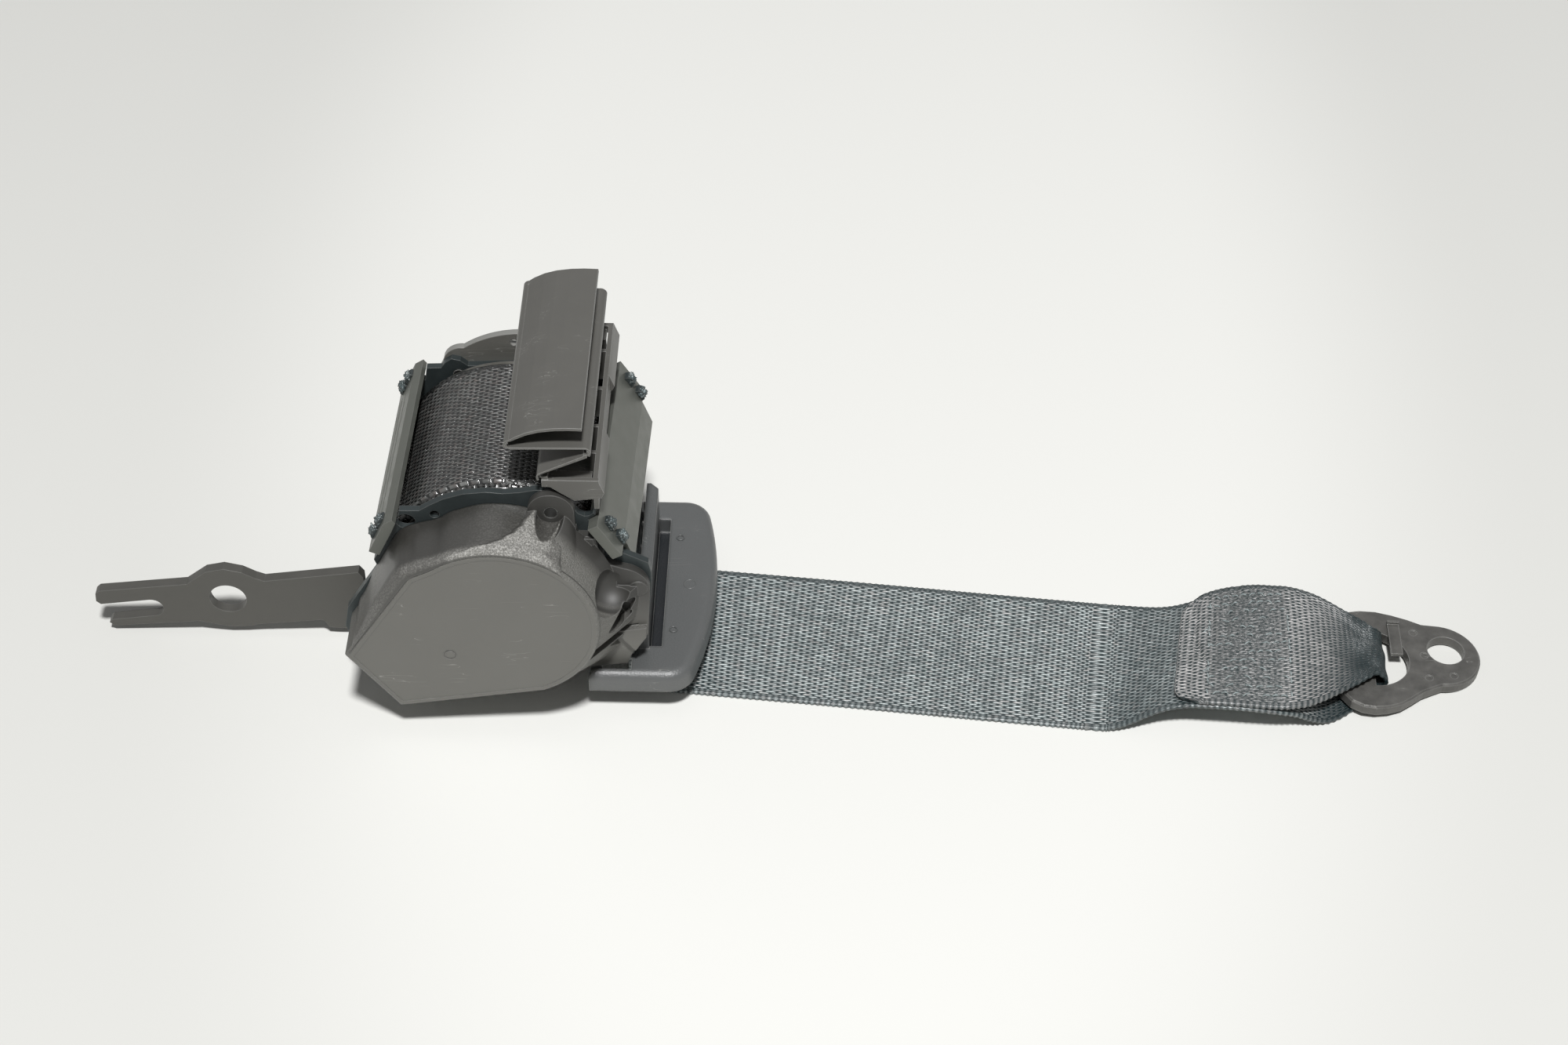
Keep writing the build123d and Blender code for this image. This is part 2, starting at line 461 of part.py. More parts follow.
REAR_TOP = ThreePointArc((-14.4, 75.0), (-4.6, 79.7), (11.2, 79.2))
REAR_SHOULDER = ThreePointArc((-20.4, 69.8), (-18.9, 73.3), (-14.4, 75.0))
REAR_FLANGE = Curve() + [REAR_SHOULDER, REAR_TOP,
                         Polyline((11.2, 79.2), (13.4, 77.0), (22.0, 69.0), (27.0, 60.0), (32.0, 50.0), (34.0, 30.0),
                                  (28.0, 18.4), (20.0, 16.4), (4.0, 6.5), (-28.0, 6.5), (-37.0, 14.0), (-38.6, 26.0),
                                  (-32.0, 48.0), (-22.6, 65.0), (-20.4, 69.8))]
REAR_CUP = [(-34.0, 15.0), (-36.0, 28.0), (-30.0, 46.0), (-20.0, 60.5), (-6.0, 68.0), (9.0, 67.4), (21.0, 59.6), (28.0, 48.0),
            (30.0, 30.0), (24.0, 16.0), (14.0, 8.2), (-26.0, 8.2)]
CUP_DEPTH = 15.0
rear_cover = extrude(at_y(REAR_Y) * make_face(REAR_FLANGE), -2.0)
cup_face = fillet(make_face(Polyline(*REAR_CUP, close=True)).vertices(), 3.0)
cup = extrude(at_y(REAR_Y) * cup_face, -CUP_DEPTH)
rear_cover += fillet(cup.faces().sort_by(Axis.Y)[-1].edges(), 1.6)
rear_cover -= extrude(at_y(REAR_Y - 0.5) * offset(cup_face, amount=-2.0), -(0.5 + CUP_DEPTH - 1.8))
rear_cover -= disc(-0.3, 77.4, 1.1, REAR_Y - 1, REAR_Y + 30)
for px, pz, post in REAR_PINS:
    rear_cover += disc(px, pz, 3.2, REAR_Y, REAR_Y + post)
    rear_cover -= disc(px, pz, 1.6, REAR_Y - 1, REAR_Y + 6)
save(rear_cover, "rear_cover")
for name, (px, pz, post) in zip(("rear_cover_pin_left", "rear_cover_pin_right", "rear_cover_pin_top"), REAR_PINS):
    save(disc(px, pz, 1.58, REAR_Y - PLATE_T - 0.4, REAR_Y + 5.5), name)

# Web guide: open box over the roll, with three leaves joined by folds

BOX_X0, BOX_X1, BOX_TOP = 12.6, 27.4, 83.2
BOX_Y0, BOX_Y1 = -30.2, 33.2
WALL = 1.3
left_wall = block(BOX_X0, BOX_X0 + WALL, BOX_Y0, BOX_Y1, 80.8, BOX_TOP)
right_wall = block(BOX_X1 - WALL, BOX_X1, BOX_Y0, BOX_Y1, 73.2, BOX_TOP)
box = left_wall + right_wall
front_trap = [(BOX_X0, BOX_TOP), (BOX_X1 + 0.2, BOX_TOP), (28.2, 77.0), (21.0, 76.0), (17.0, 79.0), (BOX_X0, 82.6)]
box += slab(front_trap, BOX_Y0, BOX_Y0 + WALL)
RIB = [(BOX_X0, BOX_TOP), (BOX_X1, BOX_TOP), (BOX_X1, 73.2), (24.0, 73.2), (BOX_X0, 78.4)]
for y in (-19.5, -9.2, 5.8, 21.2):
    box += slab(RIB, y, y + 1.1)
box += slab([(BOX_X0, BOX_TOP), (BOX_X1, BOX_TOP), (BOX_X1, 80.8), (BOX_X0, 80.8)], BOX_Y1 - WALL, BOX_Y1)
# Sloping outer aprons at the two ends of the right wall
for y0, y1 in ((BOX_Y0, -9.0), (12.0, BOX_Y1)):
    apron = slab([(BOX_X1 - 0.5, BOX_TOP), (BOX_X1, BOX_TOP), (28.9, 78.8), (28.2, 77.2), (26.9, 77.2)], y0, y1)
    box += apron
# Feet that press against the inside faces of the side plates
FOOT = [(14.0, 78.4), (23.6, 73.5), (25.6, 73.4), (25.6, 82.0), (14.0, 82.0)]
box += slab(FOOT, FRONT_Y + PLATE_T, FRONT_Y + PLATE_T + 1.4)
box += slab(FOOT, REAR_Y - PLATE_T - 1.4, REAR_Y - PLATE_T)
for y0, y1 in ((BOX_Y0, FRONT_Y + PLATE_T + 1.4), (REAR_Y - PLATE_T - 1.4, BOX_Y1)):
    box += block(14.0, 25.6, y0, y1, 80.8, 82.0)

LEAF_Y0, LEAF_Y1 = -31.2, 33.0
FOLD_A = (13.2, 85.0)      # left fold between the box and the lower leaf
FOLD_B = (24.3, 94.0)      # right fold between the lower and the middle leaf
FOLD_C = (5.2, 96.3)       # left fold between the middle leaf and the flap
R_IN, R_MID, R_OUT = 0.85, 1.35, 1.8     # each fold is two thin curls, one inside the other


# The box carries the inner curl of fold A
curl = ring(*FOLD_A, R_IN, R_MID - 0.05, 130, 285, LEAF_Y0 + 1.2, LEAF_Y1 - 0.4)
hinge_foot = slab([(12.6, 83.0), (14.4, 83.0), (14.2, 84.4), (12.9, 84.3)], LEAF_Y0 + 1.2, LEAF_Y1 - 0.4)
box += curl + hinge_foot
save(box, "web_guide_box")

# Lower leaf: outer curl of fold A, then up to the inner curl of fold B
lower_leaf = ring(*FOLD_A, R_MID, R_OUT, 100, 215, LEAF_Y0, LEAF_Y1)
lower_leaf += slab([on_circle(FOLD_A, R_MID, 118), on_circle(FOLD_A, R_OUT, 118), (24.6, 93.4 - 0.2), (25.0, 92.4)],
                   LEAF_Y0, LEAF_Y1)
lower_leaf += ring(*FOLD_B, R_IN, R_MID - 0.05, -78, 40, LEAF_Y0, LEAF_Y1)
lower_leaf += slab([(23.6, 92.0), (24.9, 92.5), (24.9, 93.2), (24.2, 93.4)], LEAF_Y0, LEAF_Y1)
save(lower_leaf, "guide_lower_leaf")

# Middle leaf: outer curl of fold B, across, to the inner curl of fold C
middle_leaf = ring(*FOLD_B, R_MID, R_OUT, -40, 96, LEAF_Y0, LEAF_Y1)
middle_leaf += slab([on_circle(FOLD_B, R_MID, 92), on_circle(FOLD_B, R_OUT, 92), (5.2, 95.5), (5.2, 94.9)], LEAF_Y0, LEAF_Y1)
middle_leaf += ring(*FOLD_C, R_IN, R_MID - 0.05, 120, 272, LEAF_Y0, LEAF_Y1)
save(middle_leaf, "guide_middle_leaf")

# Flap: outer curl of fold C, then a gently arched lip
flap_top = [(5.0, 98.1), (6.6, 99.3), (9.4, 100.8), (12.8, 101.9), (16.6, 102.5), (20.2, 102.7), (24.0, 102.6)]
flap_low = [on_circle(FOLD_C, R_MID, 88)] + [(x + 0.1, z - LEAF_T) for x, z in flap_top[1:]]
flap = ring(*FOLD_C, R_MID, R_OUT, 88, 205, LEAF_Y0, LEAF_Y1) + slab(flap_top + flap_low[::-1], LEAF_Y0, LEAF_Y1)
save(flap, "guide_flap")

# Bezel: dished plate with two slots and a guide wall between them

BEZEL_SIDE = ThreePointArc((51.8, 34.2), (56.1, 0.0), (49.4, -36.2))
BEZEL_REST = Polyline((49.4, -36.2), (22.4, -36.2), (21.8, 34.2), (51.8, 34.2))
bezel_face = make_face(Curve() + [BEZEL_SIDE, BEZEL_REST])
bezel_face = fillet(bezel_face.vertices().group_by(Axis.X)[0], 5.0)
bezel_face = fillet(bezel_face.vertices().sort_by(Axis.X)[-2:], 7.5)
bezel = Pos(0, 0, BEZEL_BOTTOM) * extrude(bezel_face, BEZEL_TOP - BEZEL_BOTTOM)
bezel = fillet(bezel.faces().sort_by(Axis.Z)[-1].edges(), 2.6)
bezel -= Pos(0, 0, BEZEL_BOTTOM - 1) * extrude(offset(bezel_face, amount=-3.0, kind=Kind.INTERSECTION), 1 + BEZEL_TOP - BEZEL_BOTTOM - 2.6)
# Room for the lobe of the spring cover
bezel -= block(20.0, 34.0, FLANGE_Y - 3.0, FRONT_Y + 0.5, 10.0, BEZEL_TOP + 1)
WALL_X0, WALL_X1 = 35.2, 38.6
bezel += Pos(0, 0, 11.0) * extrude(make_face(Polyline((WALL_X0, -26.0), (WALL_X1, -26.0), (WALL_X1, 26.2),
                                                      (WALL_X0 + 1.2, 28.4), (WALL_X0, 28.4), close=True)), 16.0)
for y in (-22.0, -13.3, -4.6, 4.1, 12.8, 21.5):
    bezel += block(WALL_X0 - 0.6, WALL_X0 + 0.2, y, y + 0.8, 13.0, 25.5)
# Blind groove beside the wall, on a floor of its own
bezel += block(WALL_X0, WALL_X1 + 5.0, -26.6, 27.0, BEZEL_BOTTOM, BEZEL_TOP - 2.0)
bezel -= block(WALL_X1, WALL_X1 + 3.4, -25.0, 25.5, BEZEL_BOTTOM + 1.2, BEZEL_TOP + 2)
bezel -= block(31.4, WALL_X0 - 0.7, -28.0, 28.5, 5, BEZEL_TOP + 2)
for y0, y1 in ((FRONT_Y + PLATE_T, FRONT_Y + PLATE_T + 1.6), (REAR_Y - PLATE_T - 1.6, REAR_Y - PLATE_T)):
    bezel += block(27.0, 31.0, y0, y1, 13.0, 20.5)
save(bezel, "bezel")

# End fitting: bolt eye and D-ring in one plate, tilted because its ring lies on the webbing

TILT = 3.6
TIP_X = 271.8


def tilted(shape):
    """Turn a flat part about the tip so that its ring end rises onto the webbing."""
    return Pos(TIP_X, 0, 0) * Rot(0, TILT, 0) * Pos(-TIP_X, 0, 0) * shape


EYE_X, EYE_Y, EYE_R = 260.2, -11.4, 11.6
RING_X, RING_Y = 240.9, -14.3
outline = ([(239.0, 4.4), (243.6, 4.4), (248.2, 3.4), (252.6, 2.0), (256.4, 0.4)]
           + [(EYE_X + EYE_R * math.cos(math.radians(a)), EYE_Y + EYE_R * math.sin(math.radians(a)))
              for a in range(84, -100, -8)]
           + [(257.0, -24.4), (254.0, -26.0), (250.6, -28.8), (247.4, -31.2), (243.8, -32.6), (240.0, -33.2),
              (236.6, -32.8), (233.4, -31.0), (231.0, -27.6), (229.8, -22.0), (229.6, -14.0), (229.8, -6.0),
              (231.4, 0.0), (234.6, 3.4)])
plate = extrude(make_face(Polyline(*outline, close=True)), FITTING_T)
plate = chamfer(plate.faces().sort_by(Axis.Z)[-1].edges(), 0.5)
slot_pts = [(240.9, -3.9)] + [(RING_X + 10.4 * math.cos(math.radians(a)), RING_Y + 10.4 * math.sin(math.radians(a)))
                              for a in range(84, -90, -8)] + [(240.9, -24.7)]
plate -= Pos(0, 0, -1) * extrude(make_face(Polyline(*slot_pts, close=True)), FITTING_T + 2)
BORE_X, BORE_Y = 262.2, -9.6
plate -= Pos(BORE_X, BORE_Y, FITTING_T / 2) * Cylinder(BOLT_HOLE_R, FITTING_T + 2)
for x, y in ((253.6, -3.4), (255.8, -12.0), (263.4, -19.2), (256.2, -20.6)):
    plate -= Pos(x, y, FITTING_T) * Cylinder(1.1, 0.6)
save(tilted(plate), "end_fitting")

keeper = block(246.2, 249.6, -13.0, -0.6, FITTING_T + 0.02, FITTING_T + 0.9)
keeper += block(246.2, 249.6, -1.4, -0.6, FITTING_T + 0.02, FITTING_T + 1.7)
save(tilted(keeper), "ring_keeper")

# Free webbing: off the roll, through the bezel, along the table and round the D-ring

EXIT_X = ROLL_R + 0.25 + BELT_T / 2
BEND_R = 6.4
EXIT_Y = 1.0
HALF = BELT_W / 2 / math.cos(SKEW)


def lane(s):
    """Middle of the webbing across Y at a distance s along the webbing."""
    return EXIT_Y - math.tan(SKEW) * s


stations = []
straight = AXIS_Z - 0.65 - BEND_R
for s in (0.0, straight * 0.5, straight):
    stations.append(((EXIT_X, lane(s) - HALF, AXIS_Z - s), (EXIT_X, lane(s) + HALF, AXIS_Z - s), BELT_T, 0.0))
for i in range(1, 9):
    a = math.radians(90 * i / 8)
    s = straight + BEND_R * a
    x = EXIT_X + BEND_R * (1 - math.cos(a))
    z = 0.65 + BEND_R - BEND_R * math.sin(a)
    stations.append(((x, lane(s) - HALF, z), (x, lane(s) + HALF, z), BELT_T, 0.0))
FLAT = [
    ((90.0, -32.2, 0.65), (94.4, 15.6, 0.65)),
    ((130.0, -36.2, 0.65), (134.6, 11.6, 0.65)),
    ((160.0, -39.1, 0.65), (164.7, 8.7, 0.65)),
    ((167.0, -39.6, 1.4), (172.2, 8.1, 0.65)),
    ((172.0, -39.4, 3.6), (178.0, 7.6, 0.7)),
    ((176.6, -38.9, 6.2), (183.4, 7.4, 0.9)),
    ((181.2, -38.4, 8.2), (188.0, 7.6, 1.6)),
    ((187.0, -38.2, 9.4), (193.4, 8.0, 3.4)),
    ((193.0, -38.6, 9.8), (198.4, 8.4, 5.4)),
    ((200.0, -39.0, 9.8), (204.4, 8.2, 7.6)),
    ((207.0, -39.2, 9.2), (210.0, 7.8, 8.8)),
    ((213.0, -38.9, 8.0), (215.6, 7.0, 8.8)),
    ((217.6, -37.8, 6.0), (219.8, 6.2, 7.4)),
    ((221.4, -36.9, 3.6), (223.4, 5.2, 5.0)),
    ((225.0, -35.9, 1.6), (226.8, 4.0, 2.6)),
    ((228.6, -34.6, 0.9), (230.0, 2.4, 1.1)),
    ((233.0, -31.6, 0.85), (233.6, -0.6, 0.85)),
    ((237.4, -27.4, 0.9), (237.6, -3.4, 0.9)),
    ((240.4, -24.0, 1.0), (240.6, -5.0, 1.0)),
]
for a, b in FLAT:
    stations.append((a, b, BELT_T, 0.0))
# Round the bar of the ring
for x, z in ((242.5, 1.7), (243.6, 2.8), (244.0, 4.1), (243.6, 5.4), (242.4, 6.4), (240.8, 6.9)):
    stations.append(((x, -23.0, z), (x, -5.4, z), BELT_T, 0.0))
BACK = [
    ((237.6, -25.4, 7.2), (238.0, -3.0, 7.4)),
    ((234.0, -27.8, 7.6), (235.0, -0.4, 8.0)),
    ((229.6, -31.0, 8.2), (231.0, 2.2, 9.0)),
    ((225.0, -34.4, 9.0), (226.6, 4.4, 10.0)),
    ((220.6, -37.2, 9.8), (222.2, 6.0, 10.6)),
    ((216.2, -38.6, 10.3), (218.0, 6.9, 10.9)),
    ((212.6, -38.9, 10.3), (214.6, 7.4, 10.6)),
    ((206.8, -39.0, 10.7), (209.4, 8.0, 10.2)),
    ((200.0, -38.8, 11.2), (203.8, 8.4, 9.0)),
    ((193.0, -38.4, 11.2), (197.8, 8.6, 6.8)),
    ((187.0, -38.0, 10.8), (192.8, 8.2, 4.8)),
    ((183.4, -37.8, 10.4), (189.4, 7.9, 3.5)),
]
belt = ribbon(stations + [(a, b, BELT_T, 0.0) for a, b in BACK])
save(belt, "free_webbing")

# Lock stitching: rows of thread that stand just proud of the upper layer
STITCHED = BACK[5:11]


def stitch(f0, f1):
    rows = []
    for a, b in STITCHED:
        va, vb = Vector(*a), Vector(*b)
        p, q = va + (vb - va) * f0, va + (vb - va) * f1
        rows.append((tuple(p), tuple(q), 0.35, -0.78))
    return ribbon(rows)


stitching = stitch(0.06, 0.09)
for f in (0.21, 0.36, 0.51, 0.66, 0.81, 0.91):
    stitching = stitching + stitch(f, f + 0.03)
for k in (0, 3):
    rows = []
    for m in (0.0, 0.25):
        a0, b0 = [Vector(*p) for p in STITCHED[k]]
        a1, b1 = [Vector(*p) for p in STITCHED[k + 1]]
        a, b = a0 + (a1 - a0) * m, b0 + (b1 - b0) * m
        rows.append((tuple(a + (b - a) * 0.06), tuple(a + (b - a) * 0.94), 0.35, -0.78))
    stitching = stitching + ribbon(rows)
save(stitching, "lock_stitching")
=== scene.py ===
import math
import random

import bmesh
import bpy
from bpy.props import FloatProperty, FloatVectorProperty, PointerProperty
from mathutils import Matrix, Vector, noise


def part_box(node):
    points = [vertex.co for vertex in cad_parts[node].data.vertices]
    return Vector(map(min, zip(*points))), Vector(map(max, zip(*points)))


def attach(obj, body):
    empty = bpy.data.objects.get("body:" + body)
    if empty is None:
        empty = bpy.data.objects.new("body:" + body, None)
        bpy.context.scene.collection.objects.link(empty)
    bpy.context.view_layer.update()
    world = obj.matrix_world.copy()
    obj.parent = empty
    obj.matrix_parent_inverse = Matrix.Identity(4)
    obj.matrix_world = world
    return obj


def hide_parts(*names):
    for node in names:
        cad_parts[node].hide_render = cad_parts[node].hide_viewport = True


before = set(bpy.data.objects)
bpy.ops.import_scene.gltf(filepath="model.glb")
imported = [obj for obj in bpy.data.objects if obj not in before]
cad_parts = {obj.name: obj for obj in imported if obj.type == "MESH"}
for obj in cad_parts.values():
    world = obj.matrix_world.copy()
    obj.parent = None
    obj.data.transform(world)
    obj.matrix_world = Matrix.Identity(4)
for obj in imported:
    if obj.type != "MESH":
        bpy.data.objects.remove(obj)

bl_info = {
    "name": "Retractor seat belt",
    "version": (1, 0, 0),
    "blender": (4, 5, 0),
    "location": "View3D > Sidebar > Seat belt",
    "description": "Finishes a retractor seat belt: steel, moulded plastic and woven webbing",
    "category": "Object",
}

MM = 0.001
SELVEDGE_PITCH, SELVEDGE_WIDTH = 1.6 * MM, 1.45 * MM    # ridges of the webbing's corded edge, and its width
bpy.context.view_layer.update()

# Camera of the photograph, in the part's frame
CAMERA_PLACE = Vector((0.0917, -0.6229, 0.6476))
CAMERA_DOWN_DEG = 44.28      # how far the view looks down
CAMERA_LEFT_DEG = 1.51       # how far it is turned left of +Y
CAMERA_LENS_MM = 72.0

# Key lamp: the place it shines at, the way to it from there, how far off it is and how wide
LAMP_TARGET = Vector((0.09, 0.0, 0.02))
LAMP_WAY = Vector((0.03, -0.41, 0.91))
LAMP_DISTANCE, LAMP_WIDTH = 2.6, 0.28

# Painted pool of light on the table, in metres: its middle, how flat it is, and from where to where it fades
PAINTED_POOL_MIDDLE, PAINTED_POOL_FLAT, PAINTED_POOL_REACH = (0.088, 0.12), 0.45, (0.11, 0.215)

# The frame's own sizes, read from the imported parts
ROLL_LOW, ROLL_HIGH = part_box("wound_webbing")
ROLL_RADIUS = (ROLL_HIGH.x - ROLL_LOW.x) / 2
ROLL_AXIS_Z = (ROLL_HIGH.z + ROLL_LOW.z) / 2


def linear(hex_colour):
    """sRGB hex value to the linear colour that the shaders use."""
    channels = [int(hex_colour[i:i + 2], 16) / 255 for i in (1, 3, 5)]
    return tuple(c / 12.92 if c <= 0.04045 else ((c + 0.055) / 1.055) ** 2.4 for c in channels)


def with_alpha(colour):
    """Colour with the fourth channel that shader sockets take."""
    return (*colour[:3], 1.0)


def colour_setting(name, description, default):
    return FloatVectorProperty(name=name, description=description, subtype="COLOR", size=3,
                               min=0.0, max=1.0, default=linear(default))


def length_setting(name, description, default):
    return FloatProperty(name=name, description=description, default=default,
                         subtype="DISTANCE", unit="LENGTH", precision=5)


class WebbingSettings(bpy.types.PropertyGroup):
    """Sizes and colours of the woven belt."""
    width: length_setting("Belt width", "Width of the webbing", 48 * MM)
    thickness: length_setting("Belt thickness", "Thickness of the webbing", 1.2 * MM)
    row_pitch: length_setting("Row pitch", "Distance between two rows of floats across the belt", 48 / 66 * MM)
    float_period: length_setting("Float period", "Length of one float and its gap along the belt", 3.2 * MM)
    relief: length_setting("Weave relief", "How far a float stands above the gaps", 0.17 * MM)
    thread_light: colour_setting("Thread light", "Crown of the polyester floats", "#c0cbcb")
    thread_dark: colour_setting("Thread dark", "Gaps between the floats", "#182a2d")
    # the roll's colours are a darker copy of the free belt's, though it is the same webbing: painted shade
    shaded_roll_light: colour_setting("Roll light", "Crown of the floats on the roll", "#7c7d7b")
    shaded_roll_dark: colour_setting("Roll dark", "Gaps between the floats on the roll", "#0e1010")


class PlasticSettings(bpy.types.PropertyGroup):
    """Colours and grain of the moulded plastic."""
    cover: colour_setting("Cover", "Grained nylon of the two covers", "#65645f")
    cover_wall: colour_setting("Cover wall", "Polished drawn walls of the covers", "#32312e")
    rear_wall: colour_setting("Rear cover wall", "Drawn walls of the rear cover", "#898985")
    guide: colour_setting("Guide", "Smooth polypropylene of the folding web guide", "#5d5c58")
    bezel: colour_setting("Bezel", "Polypropylene of the slotted bezel", "#585a5a")
    # painted shade inside the bezel's slot
    slot: colour_setting("Bezel slot", "Inside of the bezel's slot", "#10151a")
    acetal: colour_setting("Acetal", "Bushes, arbor and sensor parts", "#242422")
    grain: length_setting("Grain", "Size of the spark-eroded grain on the covers", 0.45 * MM)


class SteelSettings(bpy.types.PropertyGroup):
    """Colours of the steel parts."""
    plate: colour_setting("Side plates", "Black passivated side plates", "#394041")
    torn: colour_setting("Torn tabs", "Coat of the staked tab ends", "#4b585a")
    tie: colour_setting("Tie plates", "Grey coated tie plates", "#6b6d67")
    strap: colour_setting("Strap", "Dark coated mounting strap", "#5b5a56")
    fitting: colour_setting("Fitting", "Coated end fitting", "#62615e")
    bright: colour_setting("Bright steel", "Pins, rivets, shaft and ratchet", "#b9b7b2")
    spring: colour_setting("Spring steel", "Blued power spring", "#4b5563")


class StageSettings(bpy.types.PropertyGroup):
    """Floor and lamps."""
    floor: colour_setting("Floor", "White table", "#f7f7f3")
    # painted falloff of the pool of light, away from the object
    floor_far_painted_falloff: colour_setting("Floor far", "White table away from the object", "#e7e7e3")
    key_power: FloatProperty(name="Key lamp", description="Power of the soft lamp", default=63.0, unit="POWER")
    fill: FloatProperty(name="Fill light", description="Strength of the even light all round",
                        default=0.15, min=0.0)
    mirror: FloatProperty(name="Reflected room", description="Strength of the room in reflections",
                          default=0.40, min=0.0)


# Materials

# Settings of the nodes that are needed again and again
COLOUR_MIX, VALUE_MIX = {"data_type": "RGBA"}, {"data_type": "FLOAT"}
SMOOTH = {"interpolation_type": "SMOOTHSTEP"}
MULTIPLY, SUBTRACT, ABSOLUTE = [{"operation": kind} for kind in ("MULTIPLY", "SUBTRACT", "ABSOLUTE")]

# Scuffs on plastic and on steel that handling leaves; edges lightened partly by wear and partly as a painted
# highlight; the painted highlight of a grained surface's glints; and the plain grey of the solid view
PLASTIC_SCUFF, STEEL_SCUFF, WORN_EDGE_AND_HIGHLIGHT, PAINTED_GLINT, VIEWPORT_GREY = [
    with_alpha(linear(tone)) for tone in ("#959590", "#aaaaa6", "#adadaa", "#dddbd6", "#959595")]


def add(tree, kind, settings=None, inputs=None):
    """Add one shader node; an input is a value, or a (node, socket) pair to link from."""
    made = tree.nodes.new("ShaderNode" + kind)
    for name, value in (settings or {}).items():
        setattr(made, name, value)
    for name, value in (inputs or {}).items():
        if isinstance(value, tuple) and isinstance(value[0], bpy.types.Node):
            tree.links.new(value[0].outputs[value[1]], made.inputs[name])
        else:
            made.inputs[name].default_value = value
    return made


def new_material(name):
    """Empty node material; returns the material and its node tree."""
    material = bpy.data.materials.new(name)
    material.use_nodes = True
    material.node_tree.nodes.clear()
    return material, material.node_tree


def finish_material(material, tree, tint, roughness, bump=None, others=None):
    """Close a material: a Principled shader with these inputs, and its output."""
    inputs = {"Base Color": (tint, 2), "Roughness": roughness, **(others or {})}
    if bump:
        inputs["Normal"] = (bump, "Normal")
    shader = add(tree, "BsdfPrincipled", inputs=inputs)
    add(tree, "OutputMaterial", inputs={"Surface": (shader, "BSDF")})
    material.diffuse_color = VIEWPORT_GREY
    return material


def mottle(tree, colour, spread, size, detail=4.0):
    """Colour that drifts lighter and darker by a share, over patches of a size in metres."""
    place = add(tree, "TexCoord")
    clouds = add(tree, "TexNoise", inputs={"Vector": (place, "Object"), "Scale": 1 / size, "Detail": detail,
                                           "Roughness": 0.55})
    low = with_alpha([c * (1 - spread) for c in colour])
    high = with_alpha([min(1.0, c * (1 + spread)) for c in colour])
    return add(tree, "Mix", COLOUR_MIX, {0: (clouds, "Fac"), 6: low, 7: high})


def patches(tree, space, size, detail, start, end, low=0.0, high=1.0, crumbs=0.5):
    """Noise in patches of a size: low where its level is under start, high where it is over end. Crumbs is how
    much of its detail is fine."""
    clouds = add(tree, "TexNoise", inputs={"Vector": space, "Scale": 1 / size, "Detail": detail,
                                           "Roughness": crumbs})
    return add(tree, "MapRange", inputs={"Value": (clouds, "Fac"), "From Min": start, "From Max": end,
                                         "To Min": low, "To Max": high})


def roughness_range(tree, size, low, high, stretch=(1, 1, 1)):
    """Roughness that drifts between two values, over patches of a size in metres."""
    place = add(tree, "TexCoord")
    space = add(tree, "Mapping", inputs={"Vector": (place, "Object"), "Scale": stretch})
    return patches(tree, (space, "Vector"), size, 5.0, 0.3, 0.7, low, high)


def relief(tree, height, strength, depth, edge):
    """Relief of a depth from a height, on a surface whose sharp edges are rounded off by a radius."""
    rounded = add(tree, "Bevel", {"samples": 4}, {"Radius": edge})
    return add(tree, "Bump", inputs={"Height": height, "Strength": strength, "Distance": depth,
                                     "Normal": (rounded, "Normal")})


def worn_and_highlit_edges(tree, tint, radius, amount):
    """Lighten a tint on sharp edges, over a radius: partly wear where handling has polished them, partly a
    painted highlight.
    """
    rounded = add(tree, "Bevel", {"samples": 6}, {"Radius": radius})
    flat = add(tree, "NewGeometry")
    same = add(tree, "VectorMath", {"operation": "DOT_PRODUCT"}, {0: (rounded, "Normal"), 1: (flat, "Normal")})
    share = add(tree, "MapRange", inputs={"Value": (same, "Value"), "From Min": 0.99, "From Max": 0.80,
                                          "To Max": amount})
    return add(tree, "Mix", COLOUR_MIX, {0: (share, "Result"), 6: (tint, 2), 7: WORN_EDGE_AND_HIGHLIGHT})


def hairlines(tree, tint, colour, turn, spacing, width):
    """Draw thin wandering scuff lines over a tint, in patches; they run along X, turned by the given angles."""
    place = add(tree, "TexCoord")
    space = add(tree, "Mapping", inputs={"Vector": (place, "Object"), "Rotation": turn, "Scale": (0.12, 1, 1)})
    field = add(tree, "TexNoise", inputs={"Vector": (space, "Vector"), "Scale": 1 / spacing, "Detail": 2.0})
    middle = add(tree, "Math", SUBTRACT, {0: (field, "Fac"), 1: 0.5})
    off = add(tree, "Math", ABSOLUTE, {0: (middle, "Value")})
    line = add(tree, "MapRange", inputs={"Value": (off, "Value"), "From Min": width, "From Max": 0.0})
    here = patches(tree, (place, "Object"), 9 * MM, 1.0, 0.58, 0.68)
    scuffs = add(tree, "Math", MULTIPLY, {0: (line, "Result"), 1: (here, "Result")})
    return add(tree, "Mix", COLOUR_MIX, {0: (scuffs, "Value"), 6: (tint, 2), 7: colour})


def near_place(tree, value, centre, reach, full=None):
    """1 at a place on a line of metres, fading to 0 at a reach on both sides; it is 1 as far as full."""
    off = add(tree, "Math", SUBTRACT, {0: value, 1: centre})
    distance = add(tree, "Math", ABSOLUTE, {0: (off, "Value")})
    return add(tree, "MapRange", SMOOTH, {"Value": (distance, "Value"), "From Min": reach,
                                          "From Max": 0.4 * reach if full is None else full})


